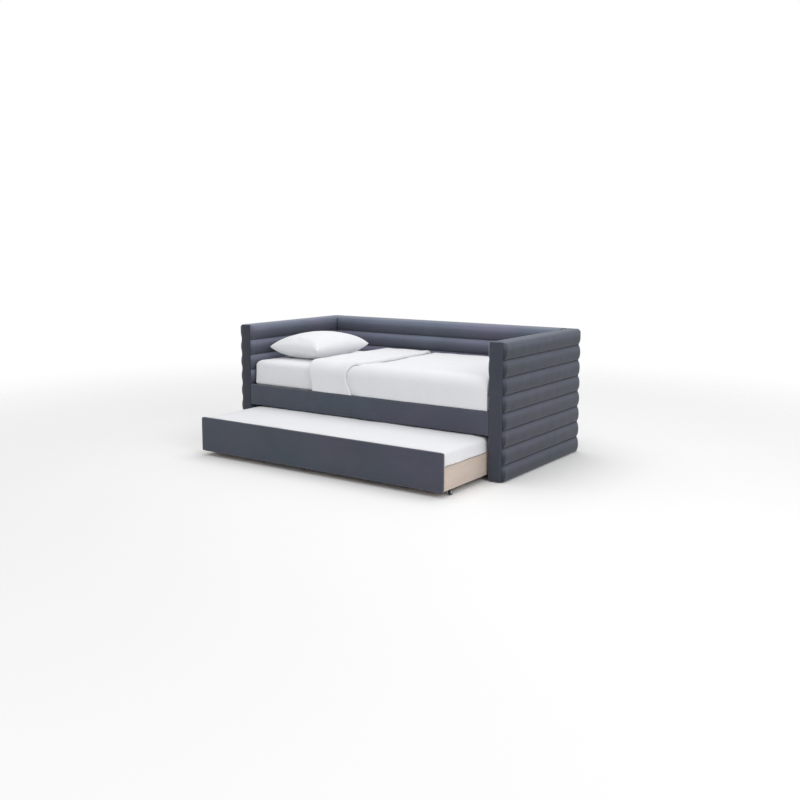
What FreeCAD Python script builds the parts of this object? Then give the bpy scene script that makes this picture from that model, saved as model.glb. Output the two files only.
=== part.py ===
import FreeCAD, Part
import os
import Sketcher

# Daybed with a roll-out trundle. X is the length, the front faces -Y, Z is up, all sizes in mm.
# Origin: middle of the whole outline on the floor, with the trundle pulled out part way.
# Every size comes from the sheet below; positions are expressions on the same sheet.

V = FreeCAD.Vector
os.makedirs("parts", exist_ok=True)
doc = FreeCAD.newDocument("trundle_daybed")
sheet = doc.addObject("Spreadsheet::Sheet", "Sheet")
sheet.Label = "driving_dimensions"

SIZES = [
    ("bed_length", 2209.8, "overall length, over the bulged side channels"),
    ("bed_depth", 1104.9, "overall depth of the daybed"),
    ("bed_height", 863.6, "overall height, floor to top of arms and back"),
    ("floor_gap", 5.0, "height of the floor glides"),
    ("trim_over", 1.0, "overshoot of a cutting block past what it cuts"),
    ("arm_width", 100.0, "arm thickness between its seam planes"),
    ("pad", 14.0, "padding thickness under the seams"),
    ("bulge", 11.0, "how far a channel bulges past its seams"),
    ("channel_rows", 8.0, "channels over the full height"),
    ("upper_rows", 4.0, "channels over the mattress side of arms and back"),
    ("border", 30.0, "depth of the plain border at an arm's front and rear"),
    ("corner_round", 22.0, "rounding of an arm border's outer corner"),
    ("cap", 12.0, "thickness of the top covers"),
    ("back_width", 108.0, "thickness of the back, seam plane to rear face"),
    ("rear_skin", 10.0, "thickness of the rear cover"),
    ("corner_gap", 0.5, "gap left between the back and the bulged arm channels"),
    ("rail_bottom", 284.0, "underside of the front rail"),
    ("rail_thick", 32.0, "front rail with its cover"),
    ("rail_wrap", 6.0, "cover thickness over the rail board"),
    ("board", 20.0, "thickness of the rail board and trundle front board"),
    ("ledger", 25.0, "depth of a slat ledger"),
    ("ledger_high", 30.0, "height of a slat ledger"),
    ("ledger_half", 945.0, "half length of a slat ledger"),
    ("slat_thick", 18.0, "slat thickness"),
    ("slat_wide", 70.0, "slat width"),
    ("slat_span", 1820.0, "first slat's middle to last slat's middle"),
    ("slat_count", 15.0, "slats in each deck"),
    ("slat_gap", 1.0, "gap left at each end of a slat"),
    ("beam_wide", 40.0, "width of a centre beam"),
    ("beam_high", 60.0, "height of the daybed's centre beam"),
    ("angle_leg", 40.0, "leg of a steel corner angle"),
    ("angle_high", 90.0, "height of a steel corner angle"),
    ("steel", 3.0, "thickness of a corner angle"),
    ("bolt_r", 4.0, "radius of a corner angle's bolt"),
    ("bolt_head_r", 8.0, "radius of a bolt's round head"),
    ("bolt_head_high", 4.0, "height of a bolt's head"),
    ("bolt_reach", 9.0, "bolt length below its head"),
    ("bolt_play", 0.3, "how much larger a bolt's hole is than the bolt, on the radius"),
    ("bolt_place", 24.0, "a bolt's distance from the angle's corner"),
    ("bolt_low", 22.5, "height of the lower bolts above the angle's foot"),
    ("bolt_step", 45.0, "height from the lower bolts to the upper ones"),
    ("glide_r", 16.0, "radius of a floor glide"),
    ("glide_end", 70.0, "an arm's glides, in from the front and rear faces"),
    ("glide_back", 52.0, "the back's glides, in from the rear face"),
    ("glide_half", 500.0, "the back's glides, out from the middle"),
    ("mattress_half", 975.0, "half length of the mattress"),
    ("mattress_thick", 178.0, "mattress thickness"),
    ("mattress_front", 24.0, "mattress front, behind the rail's front face"),
    ("mattress_back", 8.0, "gap from the mattress to the back channels"),
    ("mattress_round", 28.0, "rounding of the mattress edges"),
    ("duvet_thick", 26.0, "thickness of the duvet on top"),
    ("duvet_drop", 14.0, "thickness of the duvet's front drop"),
    ("duvet_start", -440.0, "folded edge of the duvet"),
    ("duvet_end", 972.0, "foot end of the duvet"),
    ("hem", -80.0, "hem of the turned-down part"),
    ("fold_thick", 16.0, "extra thickness of the turned-down part"),
    ("fold_drop", 8.5, "turned-down part over the front drop"),
    ("soft_gap", 0.4, "gap kept between one layer of bedding and the next"),
    ("drop_gap", 2.0, "gap from the front drop to the rail"),
    ("pillow_x", -705.0, "pillow middle along the bed"),
    ("pillow_y", 445.0, "pillow middle, behind the rail's front face"),
    ("pillow_wide", 470.0, "pillow size along the bed"),
    ("pillow_long", 620.0, "pillow size across the bed"),
    ("pillow_thick", 185.0, "pillow thickness"),
    ("pillow_round", 83.25, "rounding of the pillow's edges"),
    ("trundle_out", 500.0, "how far the trundle is pulled out"),
    ("trundle_length", 1968.8, "length of the trundle's front"),
    ("trundle_depth", 960.0, "depth of the trundle"),
    ("front_bottom", 32.0, "underside of the trundle's front"),
    ("front_top", 266.0, "top of the trundle's front"),
    ("front_pad", 8.0, "padding on the trundle's front"),
    ("front_wrap", 5.0, "cover thickness round the trundle front's edges"),
    ("cover_deep", 16.0, "how far the trundle front's cover reaches back over its board"),
    ("front_round", 4.5, "rounding of the trundle front's face edges"),
    ("frame_half", 979.0, "half length of the trundle's frame"),
    ("frame_board", 18.0, "thickness of the trundle's frame boards"),
    ("frame_bottom", 38.0, "underside of the trundle's frame boards"),
    ("frame_top", 175.0, "top of the trundle's frame boards and slats"),
    ("low_ledger", 20.0, "depth of a ledger in the trundle"),
    ("low_ledger_half", 915.0, "half length of a ledger in the trundle"),
    ("low_beam_high", 50.0, "height of the trundle's centre beam"),
    ("block", 36.0, "side of a corner block"),
    ("block_high", 90.0, "height of a corner block"),
    ("trundle_mattress_top", 272.0, "top of the trundle's mattress"),
    ("trundle_mattress_inset", 2.0, "gap from the trundle's mattress to the frame's outside"),
    ("trundle_mattress_round", 19.6, "rounding of the trundle mattress edges"),
    ("wheel_r", 17.5, "radius of a wheel over its tyre"),
    ("hub_r", 11.0, "radius of a wheel's hub"),
    ("tyre_wide", 13.0, "width of a tyre"),
    ("tyre_round", 3.25, "rounding of a tyre's outer edges"),
    ("hub_wide", 14.0, "width of a hub"),
    ("axle_r", 3.0, "radius of a wheel's axle"),
    ("axle_play", 0.05, "running gap round an axle"),
    ("axle_long", 19.5, "length of a wheel's axle"),
    ("wheel_inset", 9.0, "wheel middle, in from the frame's end"),
    ("wheel_front", 110.0, "front wheels, behind the trundle's front face"),
    ("wheel_rear", 865.0, "rear wheels, behind the trundle's front face"),
    ("plate", 2.5, "thickness of a wheel bracket"),
    ("plate_wide", 34.0, "width of a wheel bracket"),
    ("plate_top", 96.0, "top of a wheel bracket"),
    ("plate_bottom", 7.0, "underside of a wheel bracket"),
    ("screw_r", 2.2, "radius of a wheel bracket's screw"),
    ("screw_head_r", 4.2, "radius of a screw's head"),
    ("screw_head_high", 2.5, "height of a screw's head"),
    ("screw_play", 0.2, "how much larger a screw's hole is than the screw, on the radius"),
    ("screw_reach", 12.0, "screw length below its head"),
    ("screw_high", 64.0, "height of the lower screw"),
    ("screw_step", 20.0, "height from the lower screw to the upper one"),
]
for row, (alias, value, note) in enumerate(SIZES, start=1):
    sheet.set("A%d" % row, str(value))
    sheet.setAlias("A%d" % row, alias)
    sheet.set("B%d" % row, note)
doc.recompute()

# Places used again and again, as expressions on the sheet.
FRONT = "(Sheet.trundle_out - Sheet.bed_depth) / 2"
BACK = "(Sheet.trundle_out + Sheet.bed_depth) / 2"
TRUNDLE = "(-Sheet.trundle_out - Sheet.bed_depth) / 2"
OUTER = "(Sheet.bed_length / 2 - Sheet.bulge)"
INNER = "(Sheet.bed_length / 2 - Sheet.bulge - Sheet.arm_width)"
PITCH = "(Sheet.bed_height / Sheet.channel_rows)"
DECK = "(%s * Sheet.upper_rows)" % PITCH
MATTRESS_TOP = "(%s + Sheet.mattress_thick)" % DECK
BODY_HIGH = "(Sheet.bed_height - Sheet.floor_gap)"
SIDE_RUN = "(Sheet.bed_depth - 2 * Sheet.border)"
BACK_FACE = "(%s - Sheet.back_width)" % BACK
BACK_HALF = "(%s - Sheet.bulge - Sheet.corner_gap)" % INNER
SIDES = {"left": -1, "right": 1}

nodes = {}


def val(expression):
    """The number an expression on the sheet comes to."""
    result = sheet.evalExpression(str(expression))
    return float(getattr(result, "Value", result))


def bind(obj, **expressions):
    """Bind properties to expressions on the sheet."""
    for prop, expression in expressions.items():
        obj.setExpression(prop, str(expression))


def place(obj, x, y, z, turn=0.0, axis=V(0, 0, 1)):
    """Set an object's turn, and bind its position."""
    obj.Placement = FreeCAD.Placement(V(0, 0, 0), FreeCAD.Rotation(axis, turn))
    for key, expression in zip("xyz", (x, y, z)):
        obj.setExpression("Placement.Base." + key, str(expression))


def keep(name, obj):
    """Name a finished sub-part and put it in the list to be written."""
    obj.Label = name
    nodes[name] = obj
    return obj


def box(name, x, y, z, long, deep, high):
    """A board: its low corner and its three sizes, all bound."""
    obj = doc.addObject("Part::Box", name)
    bind(obj, Length=long, Width=deep, Height=high)
    place(obj, x, y, z)
    return obj


def span(name, x0, x1, y0, y1, z0, z1):
    """A board between pairs of faces."""
    sizes = ["(%s) - (%s)" % (b, a) for a, b in ((x0, x1), (y0, y1), (z0, z1))]
    return box(name, x0, y0, z0, *sizes)


def rod(name, x, y, z, radius, length, axis, turn):
    """A round bar that starts at a point and runs along the turned Z."""
    obj = doc.addObject("Part::Cylinder", name)
    bind(obj, Radius=radius, Height=length)
    place(obj, x, y, z, turn, axis)
    return obj


def group(name, members):
    """Several separate solids kept as one sub-part."""
    obj = doc.addObject("Part::Compound", name)
    obj.Links = members
    return keep(name, obj)


def plane(body, role):
    """One of a body's own origin planes."""
    return [f for f in body.Origin.OriginFeatures if f.Role == role][0]


def sketch_on(body, role, name):
    """An empty sketch on one of a body's origin planes."""
    sketch = body.newObject("Sketcher::SketchObject", name)
    sketch.AttachmentSupport = [(plane(body, role), "")]
    sketch.MapMode = "FlatFace"
    return sketch


def close_loop(sketch, first, count):
    """Join a chain of lines and arcs end to start."""
    for i in range(count):
        a = first + i
        b = first + (i + 1) % count
        sketch.addConstraint(Sketcher.Constraint("Coincident", a, 2, b, 1))


def dimension(sketch, expression, *args):
    """A dimension bound to an expression."""
    index = sketch.addConstraint(Sketcher.Constraint(*args, val(expression)))
    sketch.setExpression("Constraints[%d]" % index, str(expression))


def rectangle(sketch, wide, high, centred=False):
    """A bound rectangle, from the origin or centred on it."""
    w = val(wide)
    h = val(high)
    u = -w / 2 if centred else 0.0
    v = -h / 2 if centred else 0.0
    corners = [V(u, v, 0), V(u + w, v, 0), V(u + w, v + h, 0), V(u, v + h, 0)]
    first = sketch.GeometryCount
    for i in range(4):
        sketch.addGeometry(Part.LineSegment(corners[i], corners[(i + 1) % 4]), False)
    close_loop(sketch, first, 4)
    for i, kind in enumerate(("Horizontal", "Vertical", "Horizontal", "Vertical")):
        sketch.addConstraint(Sketcher.Constraint(kind, first + i))
    dimension(sketch, wide, "DistanceX", first, 1, first, 2)
    dimension(sketch, high, "DistanceY", first + 1, 1, first + 1, 2)
    if centred:
        sketch.addConstraint(Sketcher.Constraint("Symmetric", first, 1, first + 1, 2, -1, 1))
    else:
        sketch.addConstraint(Sketcher.Constraint("Coincident", first, 1, -1, 1))


def circle(sketch, radius, v="0"):
    """A bound circle on the sketch's vertical axis."""
    index = sketch.addGeometry(Part.Circle(V(0, val(v), 0), V(0, 0, 1), val(radius)), False)
    sketch.addConstraint(Sketcher.Constraint("PointOnObject", index, 3, -2))
    if val(v):
        dimension(sketch, v, "DistanceY", -1, 1, index, 3)
    else:
        sketch.addConstraint(Sketcher.Constraint("PointOnObject", index, 3, -1))
    dimension(sketch, radius, "Radius", index)


def pad_both(body, sketch, length):
    """Pad a sketch to both sides of its plane, by half the length each way."""
    pad = body.newObject("PartDesign::Pad", sketch.Name + "_pad")
    pad.Profile = sketch
    pad.SideType = "Symmetric"
    bind(pad, Length=length)
    doc.recompute()
    return pad


def cut_all(body, sketch):
    """Pocket a sketch through everything on both sides of its plane."""
    pocket = body.newObject("PartDesign::Pocket", sketch.Name + "_cut")
    pocket.Profile = sketch
    pocket.Type = "ThroughAll"
    pocket.SideType = "Symmetric"
    doc.recompute()
    return pocket


def round_edges(body, base, radius, wanted):
    """Fillet the edges of a feature that a test picks."""
    doc.recompute()
    names = []
    for i, edge in enumerate(base.Shape.Edges, start=1):
        if wanted(edge):
            names.append("Edge%d" % i)
    fillet = body.newObject("PartDesign::Fillet", body.Name + "_round")
    fillet.Base = (base, names)
    bind(fillet, Radius=radius)
    body.Tip = fillet
    doc.recompute()
    return fillet


def along(edge, axis):
    """True for a straight edge that runs along an axis."""
    if edge.Curve.TypeId != "Part::GeomLine":
        return False
    return abs(abs(edge.tangentAt(edge.FirstParameter).dot(axis)) - 1) < 1e-6


def channel_panel(name, rows, length):
    """A padded panel of level channels: base on X = 0, bulging to +X, running along Y."""
    body = doc.addObject("PartDesign::Body", name)
    sketch = sketch_on(body, "XZ_Plane", name + "_profile")
    pad = val("Sheet.pad")
    rise = val("Sheet.bulge")
    pitch = val(PITCH)
    sketch.addGeometry(Part.LineSegment(V(0, 0, 0), V(pad, 0, 0)), False)
    sketch.addGeometry(Part.Arc(V(pad, 0, 0), V(pad + rise, pitch / 2, 0), V(pad, pitch, 0)), False)
    sketch.addGeometry(Part.LineSegment(V(pad, pitch, 0), V(0, pitch, 0)), False)
    sketch.addGeometry(Part.LineSegment(V(0, pitch, 0), V(0, 0, 0)), False)
    close_loop(sketch, 0, 4)
    sketch.addConstraint(Sketcher.Constraint("Coincident", 0, 1, -1, 1))
    sketch.addConstraint(Sketcher.Constraint("Horizontal", 0))
    sketch.addConstraint(Sketcher.Constraint("Horizontal", 2))
    sketch.addConstraint(Sketcher.Constraint("Vertical", 3))
    sketch.addConstraint(Sketcher.Constraint("Equal", 0, 2))
    dimension(sketch, "Sheet.pad", "DistanceX", 0, 1, 0, 2)
    dimension(sketch, PITCH, "DistanceY", 3, 2, 3, 1)
    radius = "((%s / 2) ^ 2 + Sheet.bulge ^ 2) / (2 * Sheet.bulge)" % PITCH
    dimension(sketch, radius, "Radius", 1)
    roll = pad_both(body, sketch, length)
    pattern = body.newObject("PartDesign::LinearPattern", name + "_rows")
    pattern.Originals = [roll]
    pattern.Direction = (sketch, ["V_Axis"])
    bind(pattern, Length="%s * (%s - 1)" % (PITCH, rows), Occurrences=rows)
    body.Tip = pattern
    doc.recompute()
    return body


# ---- arms ----
for side, sign in SIDES.items():
    out = "%d * " % sign
    core_in = "%s + Sheet.pad" % INNER
    core_out = "%s - Sheet.pad" % OUTER
    start = FRONT + " + Sheet.border"
    stop = BACK + " - Sheet.border"
    low = (core_in, core_out) if sign > 0 else ("-(%s)" % core_out, "-(%s)" % core_in)
    keep("arm_%s_core" % side, span("arm_%s_core" % side, low[0], low[1], start, stop,
                                    "Sheet.floor_gap", "Sheet.bed_height - Sheet.cap"))
    keep("arm_%s_top_cover" % side, span("arm_%s_top_cover" % side, low[0], low[1], start, stop,
                                         "Sheet.bed_height - Sheet.cap", "Sheet.bed_height"))
    low = (INNER, core_in) if sign > 0 else ("-(%s)" % core_in, "-" + INNER)
    keep("arm_%s_lining" % side, span("arm_%s_lining" % side, low[0], low[1], start, stop,
                                      "Sheet.floor_gap", DECK))

    # The outer channels bulge outwards; the lowest row is trimmed level with the core's underside.
    panel = channel_panel("arm_%s_outer_rows" % side, "Sheet.channel_rows", SIDE_RUN)
    place(panel, out + "(%s)" % core_out, "Sheet.trundle_out / 2", 0, 0 if sign > 0 else 180)
    foot = span("arm_%s_outer_foot" % side, "-Sheet.bed_length / 2 - Sheet.trim_over",
                "Sheet.bed_length / 2 + Sheet.trim_over", FRONT, BACK, 0, "Sheet.floor_gap")
    trimmed = doc.addObject("Part::Cut", "arm_%s_outer_channels" % side)
    trimmed.Base = panel
    trimmed.Tool = foot
    keep("arm_%s_outer_channels" % side, trimmed)

    # The inner channels bulge towards the mattress, over the lining.
    panel = channel_panel("arm_%s_inner_channels" % side, "Sheet.upper_rows", SIDE_RUN)
    place(panel, out + "(%s)" % core_in, "Sheet.trundle_out / 2", DECK, 180 if sign > 0 else 0)
    keep("arm_%s_inner_channels" % side, panel)

    # Plain borders close the arm's front and rear ends, each with its outer corner rounded.
    for end in ("front", "rear"):
        name = "arm_%s_%s_border" % (side, end)
        body = doc.addObject("PartDesign::Body", name)
        sketch = sketch_on(body, "XY_Plane", name + "_plan")
        rectangle(sketch, "Sheet.arm_width", "Sheet.border")
        pad = body.newObject("PartDesign::Pad", name + "_pad")
        pad.Profile = sketch
        bind(pad, Length=BODY_HIGH)
        corner_x = val("Sheet.arm_width") if sign > 0 else 0.0
        corner_y = 0.0 if end == "front" else val("Sheet.border")
        round_edges(body, pad, "Sheet.corner_round",
                    lambda e: along(e, V(0, 0, 1)) and abs(e.CenterOfMass.x - corner_x) < 1
                    and abs(e.CenterOfMass.y - corner_y) < 1)
        place(body, INNER if sign > 0 else "-" + OUTER,
              FRONT if end == "front" else BACK + " - Sheet.border", "Sheet.floor_gap")
        keep(name, body)

# ---- back ----
keep("back_core", span("back_core", "-" + BACK_HALF, BACK_HALF, BACK_FACE + " + Sheet.pad",
                       BACK + " - Sheet.rear_skin", "Sheet.floor_gap", "Sheet.bed_height - Sheet.cap"))
keep("back_top_cover", span("back_top_cover", "-" + BACK_HALF, BACK_HALF, BACK_FACE + " + Sheet.pad",
                            BACK + " - Sheet.rear_skin", "Sheet.bed_height - Sheet.cap",
                            "Sheet.bed_height"))
keep("back_rear_cover", span("back_rear_cover", "-" + INNER, INNER, BACK + " - Sheet.rear_skin",
                             BACK, "Sheet.floor_gap", "Sheet.bed_height"))
keep("back_lining", span("back_lining", "-" + INNER, INNER, BACK_FACE, BACK_FACE + " + Sheet.pad",
                         "Sheet.floor_gap", DECK))
panel = channel_panel("back_channels", "Sheet.upper_rows", "2 * " + BACK_HALF)
place(panel, 0, BACK_FACE + " + Sheet.pad", DECK, -90)
keep("back_channels", panel)

# ---- front rail: a board in a closed fabric cover ----
RAIL_HIGH = "(%s - Sheet.rail_bottom)" % DECK
keep("front_rail_core", box("front_rail_core", "-" + INNER,
                            FRONT + " + (Sheet.rail_thick - Sheet.board) / 2",
                            "Sheet.rail_bottom + Sheet.rail_wrap", "2 * " + INNER, "Sheet.board",
                            RAIL_HIGH + " - 2 * Sheet.rail_wrap"))
cover = doc.addObject("PartDesign::Body", "front_rail_cover")
sketch = sketch_on(cover, "YZ_Plane", "rail_cover_outline")
rectangle(sketch, "Sheet.rail_thick", RAIL_HIGH, centred=True)
outline = pad_both(cover, sketch, "2 * " + INNER)
round_edges(cover, outline, "Sheet.rail_wrap", lambda e: along(e, V(1, 0, 0)))
sketch = sketch_on(cover, "YZ_Plane", "rail_cover_hollow")
rectangle(sketch, "Sheet.board", RAIL_HIGH + " - 2 * Sheet.rail_wrap", centred=True)
cover.Tip = cut_all(cover, sketch)
place(cover, 0, FRONT + " + Sheet.rail_thick / 2", "Sheet.rail_bottom + %s / 2" % RAIL_HIGH)
keep("front_rail_cover", cover)

# ---- slat deck ----
LEDGER_Z = "%s - Sheet.slat_thick - Sheet.ledger_high" % DECK
DECK_FRONT = FRONT + " + Sheet.rail_thick"
keep("deck_ledger_front", box("deck_ledger_front", "-Sheet.ledger_half", DECK_FRONT, LEDGER_Z,
                              "2 * Sheet.ledger_half", "Sheet.ledger", "Sheet.ledger_high"))
keep("deck_ledger_rear", box("deck_ledger_rear", "-Sheet.ledger_half", BACK_FACE + " - Sheet.ledger",
                             LEDGER_Z, "2 * Sheet.ledger_half", "Sheet.ledger", "Sheet.ledger_high"))
keep("deck_beam", box("deck_beam", "-" + INNER,
                      "(%s + %s) / 2 - Sheet.beam_wide / 2" % (DECK_FRONT, BACK_FACE),
                      DECK + " - Sheet.slat_thick - Sheet.beam_high",
                      "2 * " + INNER, "Sheet.beam_wide", "Sheet.beam_high"))


def slats(name, y0, y1, top):
    """A row of slats that lie across the bed."""
    members = []
    for i in range(int(val("Sheet.slat_count"))):
        middle = "-Sheet.slat_span / 2 + %d * Sheet.slat_span / (Sheet.slat_count - 1)" % i
        members.append(span("%s_%d" % (name, i + 1), middle + " - Sheet.slat_wide / 2",
                            middle + " + Sheet.slat_wide / 2", y0, y1,
                            "%s - Sheet.slat_thick" % top, top))
    return group(name, members)


slats("deck_slats", DECK_FRONT + " + Sheet.slat_gap", BACK_FACE + " - Sheet.slat_gap", DECK)

# ---- steel corner angles and their bolts, two at the front and two at the rear ----
angles = []
bolts = []
ANGLE_Z = "%s - Sheet.slat_thick - Sheet.ledger_high - Sheet.angle_high" % DECK
for side, sign in SIDES.items():
    for end in ("front", "rear"):
        name = "angle_%s_%s" % (side, end)
        y_face = DECK_FRONT if end == "front" else BACK_FACE
        y_dir = 1 if end == "front" else -1
        # One leg lies on the rail or back, the other on the arm's lining.
        leg_a = "%d * %s" % (sign, INNER)
        leg_b = "%d * (%s - Sheet.angle_leg)" % (sign, INNER)
        thin = "%d * (%s - Sheet.steel)" % (sign, INNER)
        y_thin = "%s + %d * Sheet.steel" % (y_face, y_dir)
        y_far = "%s + %d * Sheet.angle_leg" % (y_face, y_dir)
        xs = (leg_b, leg_a) if sign > 0 else (leg_a, leg_b)
        ys = (y_face, y_thin) if y_dir > 0 else (y_thin, y_face)
        flat = span(name + "_a", xs[0], xs[1], ys[0], ys[1], ANGLE_Z, ANGLE_Z + " + Sheet.angle_high")
        xs = (thin, leg_a) if sign > 0 else (leg_a, thin)
        ys = (y_face, y_far) if y_dir > 0 else (y_far, y_face)
        wing = span(name + "_b", xs[0], xs[1], ys[0], ys[1], ANGLE_Z, ANGLE_Z + " + Sheet.angle_high")
        whole = doc.addObject("Part::Fuse", name + "_whole")
        whole.Base = flat
        whole.Tool = wing
        holes = []
        for level in (0, 1):
            z = "%s + Sheet.bolt_low + %d * Sheet.bolt_step" % (ANGLE_Z, level)
            middle_x = "%d * (%s - Sheet.bolt_place)" % (sign, INNER)
            middle_y = "%s + %d * Sheet.bolt_place" % (y_face, y_dir)
            # One bolt runs along Y through the leg on the rail or back, one along X into the arm.
            head_y = "%s + %d * (Sheet.steel + Sheet.bolt_head_high)" % (y_face, y_dir)
            head_x = "%d * (%s - Sheet.steel - Sheet.bolt_head_high)" % (sign, INNER)
            for way, x, y, axis, turn in (("y", middle_x, head_y, V(1, 0, 0), 90 * y_dir),
                                          ("x", head_x, middle_y, V(0, 1, 0), 90 * sign)):
                tag = "%s_%d_%s" % (name, level, way)
                reach = "Sheet.bolt_head_high + Sheet.bolt_reach"
                bolt = doc.addObject("Part::Fuse", tag + "_bolt")
                bolt.Base = rod(tag + "_head", x, y, z, "Sheet.bolt_head_r", "Sheet.bolt_head_high",
                                axis, turn)
                bolt.Tool = rod(tag + "_shank", x, y, z, "Sheet.bolt_r", reach, axis, turn)
                bolts.append(bolt)
                holes.append(rod(tag + "_hole", x, y, z, "Sheet.bolt_r + Sheet.bolt_play", reach,
                                 axis, turn))
        drilled = doc.addObject("Part::MultiFuse", name + "_drills")
        drilled.Shapes = holes
        angle_part = doc.addObject("Part::Cut", name)
        angle_part.Base = whole
        angle_part.Tool = drilled
        angles.append(angle_part)
group("corner_angles", angles)
group("corner_bolts", bolts)

# ---- floor glides under the arms and the back ----
glides = []
ARM_MID = "(%s + Sheet.arm_width / 2)" % INNER
GLIDE_FRONT = FRONT + " + Sheet.glide_end"
GLIDE_REAR = BACK + " - Sheet.glide_end"
GLIDE_BACK = BACK + " - Sheet.glide_back"
for i, (x, y) in enumerate([("-" + ARM_MID, GLIDE_FRONT), (ARM_MID, GLIDE_FRONT),
                            ("-" + ARM_MID, GLIDE_REAR), (ARM_MID, GLIDE_REAR),
                            ("-Sheet.glide_half", GLIDE_BACK), ("Sheet.glide_half", GLIDE_BACK)],
                           start=1):
    glides.append(rod("glide_%d" % i, x, y, 0, "Sheet.glide_r", "Sheet.floor_gap", V(0, 0, 1), 0))
group("floor_glides", glides)


# ---- bedding ----
def cushion(name, long, deep, high, radius):
    """A soft block with every edge rounded, its base on Z = 0 and centred in plan."""
    body = doc.addObject("PartDesign::Body", name)
    sketch = sketch_on(body, "XY_Plane", name + "_plan")
    rectangle(sketch, long, deep, centred=True)
    pad = body.newObject("PartDesign::Pad", name + "_pad")
    pad.Profile = sketch
    bind(pad, Length=high)
    round_edges(body, pad, radius, lambda e: True)
    return keep(name, body)


MATTRESS_DEEP = "(%s - Sheet.bulge - Sheet.mattress_back - (%s) - Sheet.mattress_front)" % (BACK_FACE, FRONT)
MATTRESS_Y = "(%s) + Sheet.mattress_front + %s / 2" % (FRONT, MATTRESS_DEEP)
mattress = cushion("mattress", "2 * Sheet.mattress_half", MATTRESS_DEEP, "Sheet.mattress_thick",
                   "Sheet.mattress_round")
place(mattress, 0, MATTRESS_Y, DECK)
pillow = cushion("pillow", "Sheet.pillow_wide", "Sheet.pillow_long", "Sheet.pillow_thick",
                 "Sheet.pillow_round")
place(pillow, "Sheet.pillow_x", FRONT + " + Sheet.pillow_y", MATTRESS_TOP + " + Sheet.soft_gap")


def cover_layer(name, x0, x1, thick, drop, lift, forward):
    """A layer of the duvet: flat on top, with a drop over the front."""
    y0 = "(%s) + Sheet.mattress_front - (%s) - %s" % (FRONT, forward, drop)
    y1 = "%s - Sheet.bulge - Sheet.mattress_back" % BACK_FACE
    z0 = "%s + Sheet.soft_gap + %s" % (MATTRESS_TOP, lift)
    top = span(name + "_top", x0, x1, y0, y1, z0, "%s + %s" % (z0, thick))
    fall = span(name + "_fall", x0, x1, y0, "%s + %s" % (y0, drop), DECK + " + Sheet.drop_gap", z0)
    whole = doc.addObject("Part::Fuse", name)
    whole.Base = top
    whole.Tool = fall
    return keep(name, whole)


cover_layer("duvet", "Sheet.duvet_start", "Sheet.duvet_end", "Sheet.duvet_thick", "Sheet.duvet_drop",
            "0", "Sheet.soft_gap")
cover_layer("duvet_fold", "Sheet.duvet_start", "Sheet.hem", "Sheet.fold_thick", "Sheet.fold_drop",
            "Sheet.duvet_thick + Sheet.soft_gap", "Sheet.duvet_drop + 2 * Sheet.soft_gap")

# ---- trundle front: a board in a padded cover that leaves the rear of its edges bare ----
FRONT_THICK = "(Sheet.front_pad + Sheet.board)"
FRONT_HIGH = "(Sheet.front_top - Sheet.front_bottom)"
FRAME_Y = TRUNDLE + " + " + FRONT_THICK
REAR_Y = TRUNDLE + " + Sheet.trundle_depth"
keep("trundle_front_core",
     span("trundle_front_core", "-Sheet.trundle_length / 2 + Sheet.front_wrap",
          "Sheet.trundle_length / 2 - Sheet.front_wrap", TRUNDLE + " + Sheet.front_pad", FRAME_Y,
          "Sheet.front_bottom + Sheet.front_wrap", "Sheet.front_top - Sheet.front_wrap"))
cover = doc.addObject("PartDesign::Body", "trundle_front_cover")
sketch = sketch_on(cover, "YZ_Plane", "trundle_cover_outline")
rectangle(sketch, "Sheet.cover_deep", FRONT_HIGH)
outline = pad_both(cover, sketch, "Sheet.trundle_length")
round_edges(cover, outline, "Sheet.front_round", lambda e: e.CenterOfMass.y < 1)
hollow = box("trundle_cover_hollow", "-Sheet.trundle_length / 2 + Sheet.front_wrap", "Sheet.front_pad",
             "Sheet.front_wrap", "Sheet.trundle_length - 2 * Sheet.front_wrap",
             "Sheet.board + Sheet.trim_over", FRONT_HIGH + " - 2 * Sheet.front_wrap")
shell = doc.addObject("Part::Cut", "trundle_front_shell")
shell.Base = cover
shell.Tool = hollow
place(shell, 0, TRUNDLE, "Sheet.front_bottom")
keep("trundle_front_cover", shell)

# ---- trundle frame: four boards, the front one screwed to the back of the padded front ----
INSIDE_FRONT = FRAME_Y + " + Sheet.frame_board"
keep("trundle_inner_board",
     span("trundle_inner_board", "-Sheet.frame_half", "Sheet.frame_half", FRAME_Y, INSIDE_FRONT,
          "Sheet.frame_bottom", "Sheet.frame_top"))
for side, sign in SIDES.items():
    faces = ("Sheet.frame_half - Sheet.frame_board", "Sheet.frame_half")
    if sign < 0:
        faces = ("-Sheet.frame_half", "-Sheet.frame_half + Sheet.frame_board")
    keep("trundle_side_%s" % side,
         span("trundle_side_%s" % side, faces[0], faces[1], INSIDE_FRONT, REAR_Y + " - Sheet.frame_board",
              "Sheet.frame_bottom", "Sheet.frame_top"))
keep("trundle_rear_board",
     span("trundle_rear_board", "-Sheet.frame_half", "Sheet.frame_half", REAR_Y + " - Sheet.frame_board",
          REAR_Y, "Sheet.frame_bottom", "Sheet.frame_top"))
INSIDE_REAR = REAR_Y + " - Sheet.frame_board"
LOW = "Sheet.frame_top - Sheet.slat_thick"
for name, y0, y1 in (("trundle_ledger_front", INSIDE_FRONT, INSIDE_FRONT + " + Sheet.low_ledger"),
                     ("trundle_ledger_rear", INSIDE_REAR + " - Sheet.low_ledger", INSIDE_REAR)):
    keep(name, span(name, "-Sheet.low_ledger_half", "Sheet.low_ledger_half", y0, y1,
                    LOW + " - Sheet.ledger_high", LOW))
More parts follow.
